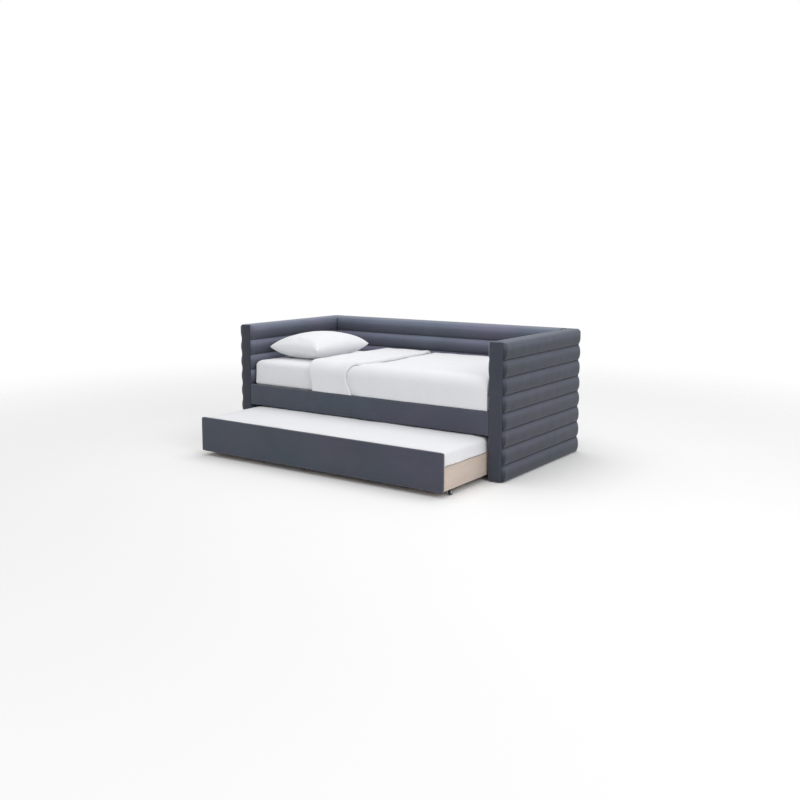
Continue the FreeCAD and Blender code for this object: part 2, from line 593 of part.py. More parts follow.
keep("trundle_beam",
     span("trundle_beam", "-Sheet.frame_half + Sheet.frame_board", "Sheet.frame_half - Sheet.frame_board",
          "(%s + %s) / 2 - Sheet.beam_wide / 2" % (INSIDE_FRONT, INSIDE_REAR),
          "(%s + %s) / 2 + Sheet.beam_wide / 2" % (INSIDE_FRONT, INSIDE_REAR),
          LOW + " - Sheet.low_beam_high", LOW))
slats("trundle_slats", INSIDE_FRONT + " + Sheet.slat_gap", INSIDE_REAR + " - Sheet.slat_gap",
      "Sheet.frame_top")
blocks = []
for side, sign in SIDES.items():
    inner_face = "%d * (Sheet.frame_half - Sheet.frame_board)" % sign
    far_face = "%d * (Sheet.frame_half - Sheet.frame_board - Sheet.block)" % sign
    faces = (far_face, inner_face) if sign > 0 else (inner_face, far_face)
    for end, y0, y1 in (("front", INSIDE_FRONT, INSIDE_FRONT + " + Sheet.block"),
                        ("rear", INSIDE_REAR + " - Sheet.block", INSIDE_REAR)):
        blocks.append(span("block_%s_%s" % (side, end), faces[0], faces[1], y0, y1,
                           LOW + " - Sheet.block_high", LOW))
group("trundle_corner_blocks", blocks)

trundle_mattress = cushion("trundle_mattress", "2 * Sheet.frame_half - 2 * Sheet.trundle_mattress_inset",
                           "Sheet.trundle_depth - %s - 2 * Sheet.trundle_mattress_inset" % FRONT_THICK,
                           "Sheet.trundle_mattress_top - Sheet.frame_top",
                           "Sheet.trundle_mattress_round")
place(trundle_mattress, 0, "(%s + %s) / 2" % (FRAME_Y, REAR_Y), "Sheet.frame_top")

# ---- wheels: a steel plate inside the side board, an axle, and a hub with a rubber tyre ----
HEAD_HIGH = "Sheet.screw_head_high"
plates = []
axles = []
screws = []
for side, sign in SIDES.items():
    wheel_x = "%d * (Sheet.frame_half - Sheet.wheel_inset)" % sign
    plate_face = "%d * (Sheet.frame_half - Sheet.frame_board)" % sign
    plate_back = "%d * (Sheet.frame_half - Sheet.frame_board - Sheet.plate)" % sign
    faces = (plate_back, plate_face) if sign > 0 else (plate_face, plate_back)
    for end in ("front", "rear"):
        wheel_y = "%s + Sheet.wheel_%s" % (TRUNDLE, end)
        tag = "%s_%s" % (end, side)
        blank = span("plate_%s_blank" % tag, faces[0], faces[1], wheel_y + " - Sheet.plate_wide / 2",
                     wheel_y + " + Sheet.plate_wide / 2", "Sheet.plate_bottom", "Sheet.plate_top")
        drills = [rod("plate_%s_axle_hole" % tag, plate_back, wheel_y, "Sheet.wheel_r", "Sheet.axle_r",
                      "Sheet.plate", V(0, 1, 0), 90 * sign)]
        for k in (0, 1):
            z = "Sheet.screw_high + %d * Sheet.screw_step" % k
            head_x = "%d * (Sheet.frame_half - Sheet.frame_board - Sheet.plate - %s)" % (sign, HEAD_HIGH)
            reach = HEAD_HIGH + " + Sheet.screw_reach"
            drills.append(rod("plate_%s_hole_%d" % (tag, k), head_x, wheel_y, z,
                              "Sheet.screw_r + Sheet.screw_play", reach, V(0, 1, 0), 90 * sign))
            screw = doc.addObject("Part::Fuse", "screw_%s_%d" % (tag, k))
            screw.Base = rod("screw_%s_%d_head" % (tag, k), head_x, wheel_y, z, "Sheet.screw_head_r",
                             HEAD_HIGH, V(0, 1, 0), 90 * sign)
            screw.Tool = rod("screw_%s_%d_shank" % (tag, k), head_x, wheel_y, z, "Sheet.screw_r",
                             reach, V(0, 1, 0), 90 * sign)
            screws.append(screw)
        drilled = doc.addObject("Part::MultiFuse", "plate_%s_drills" % tag)
        drilled.Shapes = drills
        plate = doc.addObject("Part::Cut", "plate_%s" % tag)
        plate.Base = blank
        plate.Tool = drilled
        plates.append(plate)
        axles.append(rod("axle_%s" % tag, plate_back, wheel_y, "Sheet.wheel_r", "Sheet.axle_r",
                         "Sheet.axle_long", V(0, 1, 0), 90 * sign))
        for kind, outer, inner, wide in (("tyre", "Sheet.wheel_r", "Sheet.hub_r", "Sheet.tyre_wide"),
                                         ("hub", "Sheet.hub_r", "Sheet.axle_r + Sheet.axle_play",
                                          "Sheet.hub_wide")):
            name = "%s_%s" % (kind, tag)
            body = doc.addObject("PartDesign::Body", name)
            sketch = sketch_on(body, "YZ_Plane", name + "_rings")
            circle(sketch, outer)
            circle(sketch, inner)
            ring = pad_both(body, sketch, wide)
            if kind == "tyre":
                round_edges(body, ring, "Sheet.tyre_round",
                            lambda e: e.Curve.TypeId == "Part::GeomCircle"
                            and e.Curve.Radius > val("Sheet.hub_r") + 1)
            else:
                body.Tip = ring
            place(body, wheel_x, wheel_y, "Sheet.wheel_r")
            keep(name, body)
group("wheel_plates", plates)
group("wheel_axles", axles)
group("wheel_screws", screws)

# ---- check everything, then write one file for each sub-part ----
doc.recompute()
for obj in doc.Objects:
    if "Invalid" in obj.State or "Error" in obj.State:
        raise RuntimeError("%s did not compute: %s" % (obj.Name, obj.State))
for name, obj in nodes.items():
    if obj.Shape.isNull() or not obj.Shape.isValid() or not obj.Shape.Solids:
        raise RuntimeError("%s has no valid solid" % name)
for name, obj in nodes.items():
    obj.Shape.exportStep("parts/%s.step" % name)
print("wrote %d sub-parts" % len(nodes))
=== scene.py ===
"""Looks of a channel-padded daybed with a roll-out trundle, built round its CAD frame."""

import math

import bmesh
import bpy
from bpy.props import FloatProperty, FloatVectorProperty, IntProperty, PointerProperty
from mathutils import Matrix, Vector, noise


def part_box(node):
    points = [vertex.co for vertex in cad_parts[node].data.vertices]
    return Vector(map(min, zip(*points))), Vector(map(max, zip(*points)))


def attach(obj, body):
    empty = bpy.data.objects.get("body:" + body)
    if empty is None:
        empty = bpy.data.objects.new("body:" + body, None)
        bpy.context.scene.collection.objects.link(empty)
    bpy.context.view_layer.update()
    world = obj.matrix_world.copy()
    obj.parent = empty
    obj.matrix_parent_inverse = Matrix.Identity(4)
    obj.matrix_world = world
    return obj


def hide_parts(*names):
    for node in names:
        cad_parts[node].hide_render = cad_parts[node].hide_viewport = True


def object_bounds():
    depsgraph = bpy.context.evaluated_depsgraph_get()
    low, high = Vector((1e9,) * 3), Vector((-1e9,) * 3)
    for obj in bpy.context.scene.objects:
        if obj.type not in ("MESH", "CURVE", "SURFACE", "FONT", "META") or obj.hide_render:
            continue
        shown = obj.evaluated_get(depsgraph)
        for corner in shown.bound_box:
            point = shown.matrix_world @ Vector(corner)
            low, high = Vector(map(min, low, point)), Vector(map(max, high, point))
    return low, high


bl_info = {
    "name": "Trundle daybed",
    "version": (1, 0, 0),
    "blender": (4, 5, 0),
    "location": "View3D > Sidebar > Daybed",
    "description": "Builds the upholstery, bedding and finishes of a trundle daybed",
    "category": "Object",
}

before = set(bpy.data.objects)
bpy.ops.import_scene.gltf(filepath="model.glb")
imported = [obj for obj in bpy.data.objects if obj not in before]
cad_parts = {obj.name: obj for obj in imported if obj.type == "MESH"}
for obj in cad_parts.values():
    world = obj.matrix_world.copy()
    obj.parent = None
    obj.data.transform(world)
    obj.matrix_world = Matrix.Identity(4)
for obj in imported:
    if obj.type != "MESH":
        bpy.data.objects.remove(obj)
CAD_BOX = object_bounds()
CAD_TOP = CAD_BOX[1][2]
ARM_ROWS = 8
BACK_ROWS = 4


def box(node):
    """A CAD node's lowest and highest corners, as vectors."""
    low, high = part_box(node)
    return Vector(low), Vector(high)


def round_radius(node):
    """Half the height of a CAD node that is round about a level axle."""
    low, high = box(node)
    return (high.z - low.z) / 2


SIDES = {"left": -1, "right": 1}
FLOOR_TOP = 0.0
FLOOR_REACH = 6.0
CAMERA_PLACE = (3.7645, -5.1947, 1.4589)
CAMERA_TURN = (83.0, 0.0, 35.018)
CAMERA_LENS = 41.96
CAMERA_SHIFT = -0.0539
SURROUND_LIGHT = 0.62
# Each light panel: name, place, aim, width in metres, watts.
PANELS = (
    ("overhead_panel", (0.2, 0.4, 4.6), (0.1, 0.0, 0.3), 4.2, 96.0),
    ("side_panel", (5.2, -2.4, 3.2), (0.2, 0.0, 0.4), 2.6, 66.0),
)

# How far the painted shade reaches out from a channel's seam.
SEAM_REACH = 0.0065
# Painted shade on the lower half of a channel, and all over a plain border strip and the trundle front.
LOWER_PAINTED_SHADE = 0.56
STRIP_PAINTED_SHADE = {"left": 0.62, "right": 0.40}
TRUNDLE_PAINTED_SHADE = 0.16
# Painted light all over a panel, lighter or darker, and a painted highlight on the upper part of each of its
# channels.
OUTER_PAINTED_LIGHT = (-0.42, 0.55)
INNER_PAINTED_LIGHT = (0.15, 1.00)
BACK_PAINTED_LIGHT = (0.25, 1.05)
# Painted light on the top strips: lighter on the left arm and the back, darker on the right arm.
TOP_PAINTED_LIGHT = {"left": 1.3, "right": -0.2, "back": 0.7}
# Mesh steps: on the top channel's upper half, over its roll, and round each end of a panel.
UPPER_STEPS = 5
ROLL_STEPS = 7
END_STEPS = 6
# The painted highlight is brightest this far up a channel, within about this much, as shares.
LIGHT_PLACE = 0.86
LIGHT_REACH = 0.22
# Where a panel's thin lap on its border strip swells up, and how thin the lap is.
LAP_EASE = 0.012
LAP_THICK = 0.0004
# A fitted sheet's corner pleats: how far from the corner, and how deep as a share.
PLEATS = ((0.050, 1.0), (0.098, 0.8), (0.160, 0.5))
PLEAT_WIDTH = 0.014
COVER_ROUND = 0.0035
COVER_STEP = 0.014
# How much thinner the filling lies where the duvet hangs down a side.
DROP_THINNING = 0.42

# ---------------------------------------------------------------- settings


class DaybedSizes(bpy.types.PropertyGroup):
    """Sizes of the soft work, in metres."""

    seam_sink: FloatProperty(
        name="Seam depth", description="How deep a channel's seams are pulled in",
        default=0.010, min=0.0, unit="LENGTH")
    corner: FloatProperty(
        name="Arm corner", description="Rounding of an arm's outer corners in plan",
        default=0.028, min=0.005, unit="LENGTH")
    row_steps: IntProperty(
        name="Channel steps", description="Mesh rows across one channel", default=16, min=6)
    run_step: FloatProperty(
        name="Channel step", description="Mesh spacing along a channel", default=0.007, unit="LENGTH")
    duvet_loft: FloatProperty(
        name="Duvet loft", description="Thickness of the duvet on top of the bed", default=0.030,
        unit="LENGTH")
    fold_loft: FloatProperty(
        name="Fold loft", description="Thickness of the turned-down part", default=0.019, unit="LENGTH")
    hem_place: FloatProperty(
        name="Hem", description="Where the turned-down hem lies along the bed", default=-0.060,
        unit="LENGTH")
    pillow_long: FloatProperty(
        name="Pillow length", description="The filled pillow, across the bed", default=0.635,
        unit="LENGTH")
    pillow_wide: FloatProperty(
        name="Pillow width", description="The filled pillow, along the bed", default=0.48,
        unit="LENGTH")


class DaybedColours(bpy.types.PropertyGroup):
    """Base colours."""

    cloth: FloatVectorProperty(
        name="Upholstery", description="Slate blue-grey velvet", subtype="COLOR",
        default=(0.077, 0.083, 0.107), min=0, max=1)
    timber: FloatVectorProperty(
        name="Timber", description="Pale birch", subtype="COLOR",
        default=(0.60, 0.50, 0.43), min=0, max=1)
    linen: FloatVectorProperty(
        name="Bed linen", description="White cotton", subtype="COLOR",
        default=(0.835, 0.84, 0.865), min=0, max=1)
    steel: FloatVectorProperty(
        name="Steel", description="Zinc plated steel", subtype="COLOR",
        default=(0.50, 0.50, 0.52), min=0, max=1)
    rubber: FloatVectorProperty(
        name="Tyres", description="Black rubber", subtype="COLOR",
        default=(0.018, 0.018, 0.019), min=0, max=1)
    floor: FloatVectorProperty(
        name="Floor", description="Pale studio floor", subtype="COLOR",
        default=(0.975, 0.975, 0.975), min=0, max=1)


def sizes():
    return bpy.context.scene.daybed_sizes


def colours():
    return bpy.context.scene.daybed_colours


# ---------------------------------------------------------------- shader maths


class Socket:
    """An output socket that can be used in Python expressions."""

    def __init__(self, paint, link):
        self.paint = paint
        self.link = link

    def maths(self, operation, other):
        return self.paint.node("ShaderNodeMath", {"operation": operation}, [self, other])

    def __add__(self, other):
        return self.maths("ADD", other)

    def __sub__(self, other):
        return self.maths("SUBTRACT", other)

    def __mul__(self, other):
        return self.maths("MULTIPLY", other)


class Paint:
    """A node material with a Principled shader, and one way of adding nodes."""

    def __init__(self, name, **constants):
        self.material = bpy.data.materials.new(name)
        self.material.use_nodes = True
        self.tree = self.material.node_tree
        self.shader = self.tree.nodes["Principled BSDF"]
        for socket, value in constants.items():
            self.shader.inputs[socket.replace("_", " ")].default_value = value

    def node(self, kind, settings=None, inputs=None, output=0):
        """Add a node: its settings first, then its sockets' values or links."""
        made = self.tree.nodes.new(kind)
        for key, value in (settings or {}).items():
            if key == "stops":
                self.set_stops(made.color_ramp, value)
            else:
                setattr(made, key, value)
        pairs = enumerate(inputs) if isinstance(inputs, list) else (inputs or {}).items()
        for key, value in pairs:
            if isinstance(value, Socket):
                self.tree.links.new(value.link, made.inputs[key])
            else:
                made.inputs[key].default_value = value
        return Socket(self, made.outputs[output])

    @staticmethod
    def set_stops(ramp, stops):
        """Give a colour ramp its stops: (place, colour) pairs."""
        while len(ramp.elements) < len(stops):
            ramp.elements.new(0.5)
        for element, (place, colour) in zip(ramp.elements, stops):
            element.position = place
            element.color = (*colour, 1.0)

    def feed(self, socket, value):
        """Link an expression to one of the shader's sockets."""
        self.tree.links.new(value.link, self.shader.inputs[socket])

    def place(self):
        """Where a point lies on the object, in metres."""
        return self.node("ShaderNodeTexCoord", output="Object")

    def stretch(self, vector, scale):
        """Scale a texture's place."""
        return self.node("ShaderNodeMapping", {}, {"Vector": vector, "Scale": scale})

    def noise(self, vector, scale, detail=2.0, rough=0.5):
        """Smooth noise from 0 to 1."""
        inputs = {"Vector": vector, "Scale": scale, "Detail": detail, "Roughness": rough}
        return self.node("ShaderNodeTexNoise", {}, inputs)

    def mix(self, factor, first, second):
        """Blend two colours."""
        inputs = {0: factor, 6: first, 7: second}
        return self.node("ShaderNodeMix", {"data_type": "RGBA"}, inputs, output=2)

    @staticmethod
    def tint(colour, shade=1.0):
        """A colour with four channels, made darker or lighter."""
        return (*[min(1.0, channel * shade) for channel in colour], 1.0)

    def bump(self, height, strength, distance, under=None):
        """A bump made from a height, on top of another bump if one is given."""
        inputs = {"Strength": strength, "Distance": distance, "Height": height}
        if under is not None:
            inputs["Normal"] = under
        return self.node("ShaderNodeBump", {}, inputs)


def weave(paint, place, threads_per_metre):
    """Height of a plain weave seen square on, from 0 to 1, on whichever faces it lies."""
    waves = []
    for axis in ("X", "Y", "Z"):
        settings = {"wave_type": "BANDS", "bands_direction": axis, "wave_profile": "SIN"}
        inputs = {"Vector": place, "Scale": threads_per_metre / 10.0, "Distortion": 0.6,
                  "Detail": 1.0, "Detail Scale": 2.0}
        waves.append(paint.node("ShaderNodeTexWave", settings, inputs, output="Fac"))
    return (waves[0] + waves[1] + waves[2]) * (1 / 3)


def velvet(name, colour):
    """Short-pile upholstery: the pile leans in soft patches and has a sheen; painted shade darkens the seams
    and other places, and painted light lightens or darkens panels and the upper parts of the rolls.
    """
    paint = Paint(name, IOR=1.45, Sheen_Weight=0.35, Sheen_Roughness=0.45,
                  Sheen_Tint=(0.86, 0.90, 1.0, 1.0), Specular_IOR_Level=0.22)
    place = paint.place()
    leaning = paint.noise(place, 4.0, 3.0, 0.55)
    drift = paint.noise(place, 1.7, 2.0, 0.5)
    streaks = paint.noise(paint.stretch(place, (3.0, 3.0, 26.0)), 3.0, 3.0, 0.6)
    nap = paint.noise(place, 900.0, 2.0, 0.6)
    # Painted shade: darkens the seams, the lower half of each roll, the border strips and the trundle front.
    crease = paint.node("ShaderNodeAttribute", {"attribute_name": "crease"}, output="Fac")
    # Painted light: lightens or darkens a whole panel, and lightens the upper part of each roll.
    raised = paint.node("ShaderNodeAttribute", {"attribute_name": "raised"}, output="Fac")
    cool = [colour[0] * 0.80, colour[1] * 1.05, colour[2] * 0.98]
    warm = [colour[0] * 1.12, colour[1] * 0.96, colour[2] * 1.10]
    hue = paint.mix(drift * 1.5 - 0.25, paint.tint(cool), paint.tint(warm))
    cloud = leaning * 0.55 + streaks * 0.30 + nap * 0.15
    # Random tone, times the painted light.
    lift = (cloud * 0.68 + 0.66) * (raised + 1.0)
    painted_light_lift = paint.node("ShaderNodeVectorMath", {"operation": "SCALE"}, {"Vector": hue, "Scale": lift})
    # The painted shade mixes the colour towards a near-black copy of itself.
    paint.feed("Base Color", paint.mix(crease * 0.82, painted_light_lift, paint.tint(colour, 0.10)))
    paint.feed("Roughness", leaning * 0.16 + nap * 0.10 + 0.52)
    creases = paint.bump(paint.noise(place, 30.0, 3.0, 0.55), 0.18, 0.004)
    paint.feed("Normal", paint.bump(weave(paint, place, 1100) * 0.4 + nap * 0.6, 0.35, 0.0006, creases))
    return paint.material


def linen(name, colour, threads, crease_scale, crease_depth):
    """White bed cloth: a fine plain weave and faint soft creases."""
    paint = Paint(name, IOR=1.42, Sheen_Weight=0.12, Sheen_Roughness=0.5, Specular_IOR_Level=0.22)
    place = paint.place()
    wear = paint.noise(place, 6.0, 3.0, 0.5)
    slubs = paint.noise(paint.stretch(place, (40.0, 420.0, 40.0)), 1.0, 2.0, 0.6)
    shade = wear * 0.6 + slubs * 0.4
    paint.feed("Base Color", paint.mix(shade, paint.tint(colour, 0.955), paint.tint(colour, 1.03)))
    paint.feed("Roughness", slubs * 0.12 + 0.74)
    creases = paint.bump(paint.noise(place, crease_scale, 3.0, 0.5), 0.35, crease_depth)
    paint.feed("Normal", paint.bump(weave(paint, place, threads), 0.3, 0.0005, creases))
    return paint.material


def timber(name, colour, along):
    """Pale birch: long grain along one axis, fine pores and a satin lacquer."""
    paint = Paint(name, IOR=1.5, Coat_Weight=0.12, Coat_Roughness=0.35)
    place = paint.place()
    scale = [38.0, 38.0, 38.0]
    scale["XYZ".index(along)] = 2.2
    grain = paint.noise(paint.stretch(place, scale), 1.0, 5.0, 0.62)
    pores = paint.noise(paint.stretch(place, [axis * 9 for axis in scale]), 1.0, 2.0, 0.5)
    broad = paint.noise(paint.stretch(place, [axis * 0.22 for axis in scale]), 1.0, 2.0, 0.5)
    figure = grain * 0.5 + broad * 0.35 + pores * 0.15
    stops = [(0.30, tuple(c * 0.74 for c in colour)), (0.52, tuple(colour)),
             (0.72, tuple(min(1, c * 1.13) for c in colour))]
    paint.feed("Base Color", paint.node("ShaderNodeValToRGB", {"stops": stops}, [figure]))
    paint.feed("Roughness", pores * 0.18 + 0.42)
    paint.feed("Normal", paint.bump(grain * 0.5 + pores * 0.5, 0.25, 0.0006))
    return paint.material


def plated_steel(name, colour):
    """Zinc plated steel with a faint brushed grain."""
    paint = Paint(name, Metallic=1.0)
    place = paint.place()
    brushed = paint.noise(paint.stretch(place, (600.0, 60.0, 600.0)), 1.0, 2.0, 0.6)
    blotch = paint.noise(place, 120.0, 2.0, 0.5)
    paint.feed("Base Color", paint.mix(blotch, paint.tint(colour, 0.85), paint.tint(colour, 1.15)))
    paint.feed("Roughness", brushed * 0.2 + 0.26)
    paint.feed("Normal", paint.bump(brushed, 0.12, 0.0002))
    return paint.material


def moulded(name, colour, rough):
    """Moulded rubber or plastic with a fine matt texture."""
    paint = Paint(name, IOR=1.5)
    place = paint.place()
    dust = paint.noise(place, 60.0, 3.0, 0.6)
    grain = paint.noise(place, 2400.0, 1.0, 0.5)
    paint.feed("Base Color", paint.mix(dust, paint.tint(colour, 0.8), paint.tint(colour, 1.8)))
    paint.feed("Roughness", dust * 0.2 + rough)
    paint.feed("Normal", paint.bump(grain, 0.2, 0.0002))
    return paint.material


def studio_floor(name, colour, reach):
    """A pale floor that fades out far from the bed."""
    paint = Paint(name, Roughness=0.7, IOR=1.3, Specular_IOR_Level=0.1)
    place = paint.place()
    mottle = paint.noise(place, 0.6, 2.0, 0.5)
    paint.feed("Base Color", paint.mix(mottle, paint.tint(colour, 0.985), paint.tint(colour, 1.01)))
    distance = paint.node("ShaderNodeVectorMath", {"operation": "LENGTH"}, [place], output="Value")
    settings = {"interpolation_type": "SMOOTHSTEP"}
    inputs = {"Value": distance, "From Min": reach * 0.22, "From Max": reach * 0.96}
    fade = paint.node("ShaderNodeMapRange", settings, inputs)
    clear = paint.node("ShaderNodeBsdfTransparent")
    solid = Socket(paint, paint.shader.outputs[0])
    mixed = paint.node("ShaderNodeMixShader", {}, [fade, solid, clear])
    output = paint.tree.nodes["Material Output"]
    paint.tree.links.new(mixed.link, output.inputs["Surface"])
    return paint.material


_finishes = {}


def finish_of(kind):
    """The material of a kind of surface, made once."""
    if kind not in _finishes:
        shade = colours()
        makers = {
            "velvet": lambda: velvet("upholstery_velvet", shade.cloth),
            "sheet": lambda: linen("fitted_sheet", shade.linen, 900, 16.0, 0.004),
            "quilt": lambda: linen("duvet_cotton", shade.linen, 1000, 11.0, 0.006),
            "pillowcase": lambda: linen("pillow_cotton", shade.linen, 1000, 18.0, 0.004),
            "timber_x": lambda: timber("birch_along", shade.timber, "X"),
            "timber_y": lambda: timber("birch_across", shade.timber, "Y"),
            "timber_z": lambda: timber("birch_upright", shade.timber, "Z"),
            "steel": lambda: plated_steel("zinc_steel", shade.steel),
            "tyre": lambda: moulded("tyre_rubber", shade.rubber, 0.55),
            "glide": lambda: moulded("glide_plastic", shade.rubber, 0.40),
        }
        _finishes[kind] = makers[kind]()
    return _finishes[kind]


def paint_node(node, kind):
    """Give a CAD node's own object a finish."""
    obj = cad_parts[node]
    if not obj.material_slots:
        obj.data.materials.append(None)
    for slot in obj.material_slots:
        slot.material = finish_of(kind)


# ---------------------------------------------------------------- mesh helpers


def add_piece(name, points, faces, kind, body, nodes):
    """Make a smooth mesh piece that rides on a body and stands for some CAD nodes."""
    mesh = bpy.data.meshes.new(name)
    mesh.from_pydata([tuple(point) for point in points], [], faces)
    mesh.validate()
    mesh.update()
    mesh.shade_smooth()
    piece = bpy.data.objects.new(name, mesh)
    bpy.context.scene.collection.objects.link(piece)
    mesh.materials.append(finish_of(kind))
    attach(piece, body)
    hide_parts(*nodes)
    return piece


def tube_faces(loops, steps, paired=False):
    """Faces that join closed loops of points one after another, with a cap at each end.

    A paired loop goes out along one side and back along the other, and is capped by a strip."""
    faces = []
    for i in range(loops - 1):
        for j in range(steps):
            k = (j + 1) % steps
            faces.append((i * steps + j, i * steps + k, (i + 1) * steps + k, (i + 1) * steps + j))
    last = (loops - 1) * steps
    if paired:
        for j in range(steps // 2 - 1):
            k = steps - 1 - j
            faces.append((j + 1, j, k, k - 1))
            faces.append((last + j, last + j + 1, last + k - 1, last + k))
        return faces
    faces.append(tuple(reversed(range(steps))))
    faces.append(tuple(range(last, last + steps)))
    return faces


def face_outwards(piece):
    """Turn every face of a closed mesh outwards."""
    work = bmesh.new()
    work.from_mesh(piece.data)
    bmesh.ops.recalc_face_normals(work, faces=work.faces)
    work.to_mesh(piece.data)
    work.free()


def ease(value):
    """A smooth step from 0 to 1."""
    value = min(1.0, max(0.0, value))
    return value * value * (3 - 2 * value)


def ripple(point, scale, seed=0.0):
    """Smooth noise from about -1 to 1 at a point."""
    return noise.noise(Vector(point) * scale + Vector((seed, seed * 1.7, -seed)))


def swell(share):
    """Height across one channel, from 0 at its seams to 1 in the middle."""
    return math.sqrt(max(0.0, 1 - abs(2 * share - 1) ** 2.0))


def row_shares(steps):
    """Places across one channel, closer together near its seams."""
    return [0.5 - 0.5 * math.cos(math.pi * i / steps) for i in range(steps + 1)]


def painted_shade_and_highlight(share, pitch):
    """Painted shade and painted highlight at a place across a channel: shade at the seams and over the lower
    half, highlight on the upper part.
    """
    near = max(math.exp(-share * pitch / SEAM_REACH), math.exp(-(1 - share) * pitch / (SEAM_REACH * 0.45)))
    # Painted shade at the seams and over the lower half, and a painted highlight on the upper part.
    return max(near, LOWER_PAINTED_SHADE * (1 - share * 1.8)), math.exp(-((share - LIGHT_PLACE) / LIGHT_REACH) ** 2)


def panel_profile(rows, pitch, peak, sink, depth):
    """Up a panel of channels: (height, outward push, painted shade, painted highlight) at each point.

    The top channel rolls over inwards, to end level at the panel's top, a padding's depth in."""
    shares = row_shares(sizes().row_steps)
    top = rows * pitch
    over = peak + depth
    lower_half = [share for share in shares if share < 0.501]
    profile = []
    for row in range(rows):
        for share in lower_half if row == rows - 1 else shares[:-1]:
            push = -sink + (peak + sink) * swell(share)
            profile.append(((row + share) * pitch, push, *painted_shade_and_highlight(share, pitch)))
    middle = top - pitch / 2
    for i in range(1, UPPER_STEPS):
        height = middle + (top - over - middle) * i / UPPER_STEPS
        profile.append((height, peak, 0.0, painted_shade_and_highlight(0.5 + 0.36 * i / UPPER_STEPS, pitch)[1]))
    for i in range(ROLL_STEPS + 1):
        angle = math.radians(90 * i / ROLL_STEPS)
        profile.append((top - over + over * math.sin(angle), peak - over + over * math.cos(angle), 0.0, 1.0))
    return profile


class PlanPath:
    """A level path with an outward side: straight, with rounded ends if a radius is given."""

    def __init__(self, length, radius, turn, step):
        self.places = []
        if radius:
            for angle in [turn * (1 - i / END_STEPS) for i in range(END_STEPS)]:
                self.add(radius - radius * math.sin(angle), radius * (math.cos(angle) - 1), -angle)
        start = radius
        stop = length - radius
        count = max(8, round((stop - start) / step))
        for i in range(count + 1):
            self.add(start + (stop - start) * i / count, 0.0, 0.0)
        if radius:
            for angle in [turn * (i + 1) / END_STEPS for i in range(END_STEPS)]:
                self.add(stop + radius * math.sin(angle), radius * (math.cos(angle) - 1), angle)
        self.run = [0.0]
        for a, b in zip(self.places, self.places[1:]):
            self.run.append(self.run[-1] + math.hypot(b[0] - a[0], b[1] - a[1]))

    def add(self, along, out, angle):
        """A place on the path, and the direction that faces outwards there."""
        self.places.append((along, out, math.sin(angle), math.cos(angle)))


def channel_cushion(name, corner, along, outward, path, rows, pitch, depth, bulge, tapers, nodes, body,
                    overlap=0.0, painted_light_lift=(0.0, 0.0)):
    """A padded panel of level channels that follows a path, with its seams pulled in.

    tapers are how far its two ends take to swell up; over its first stretch, overlap long, it is a thin
    pad that lies on the border strip. The last argument is painted light all over the panel, and a painted
    highlight on each roll."""
    up = Vector((0, 0, 1))
    points = []
    creases = []
    painted_light_values = []
    total = path.run[-1]
    for (s, out, lean_s, lean_o), run in zip(path.places, path.run):
        base = corner + along * s + outward * out
        facing = along * lean_s + outward * lean_o
        rounded = 1.0
        for gone, taper in ((run, tapers[0]), (total - run, tapers[1])):
            rounded *= math.sqrt(max(0.0, 1 - (1 - min(1.0, gone / taper)) ** 2))
        thin = ease((run - overlap) / LAP_EASE) if overlap else 1.0
        sink = sizes().seam_sink * thin
        deep = LAP_THICK + (depth - LAP_THICK) * thin
        low_peak = -sink * 0.6
        peak = low_peak + (bulge - low_peak) * rounded
        loop = []
        for z, push, near, raised in panel_profile(rows, pitch, peak, sink, deep):
            spot = base + up * z
            puffed = min(1.0, max(0.0, (push + sink) / (bulge + sink)))
            push += 0.0012 * ripple(spot, 11.0, 3.0) * puffed
            push += near * (0.0010 * ripple(spot, 27.0, 9.0) - 0.0010 * abs(ripple(spot, 60.0, 4.0)))
            loop.append(spot + facing * push)
            # Painted shade at the seams and over the lower half of each roll.
            creases.append(near)
            # Painted light of the panel, with a painted highlight on the upper part of each roll.
            painted_light_values.append(painted_light_lift[0] + painted_light_lift[1] * raised)
        loop.append(base - facing * deep + up * 0.0002)
        creases.append(0.0)
        painted_light_values.append(0.0)
        points += loop
        steps = len(loop)
    piece = add_piece(name, points, tube_faces(len(path.places), steps), "velvet", body, nodes)
    add_values(piece, "crease", creases)
    add_values(piece, "raised", painted_light_values)
    face_outwards(piece)
    return piece


def add_values(piece, name, values):
    """Keep a number for each point: one darkens the velvet as painted shade, the other lightens or darkens it
    as painted light.
    """
    layer = piece.data.attributes.new(name, "FLOAT", "POINT")
    layer.data.foreach_set("value", values)


def arc_points(cx, cy, radius, start, stop, steps):
    """Points on an arc, angles in degrees."""
    angles = [math.radians(start + (stop - start) * i / steps) for i in range(steps + 1)]
    return [(cx + radius * math.cos(a), cy + radius * math.sin(a)) for a in angles]


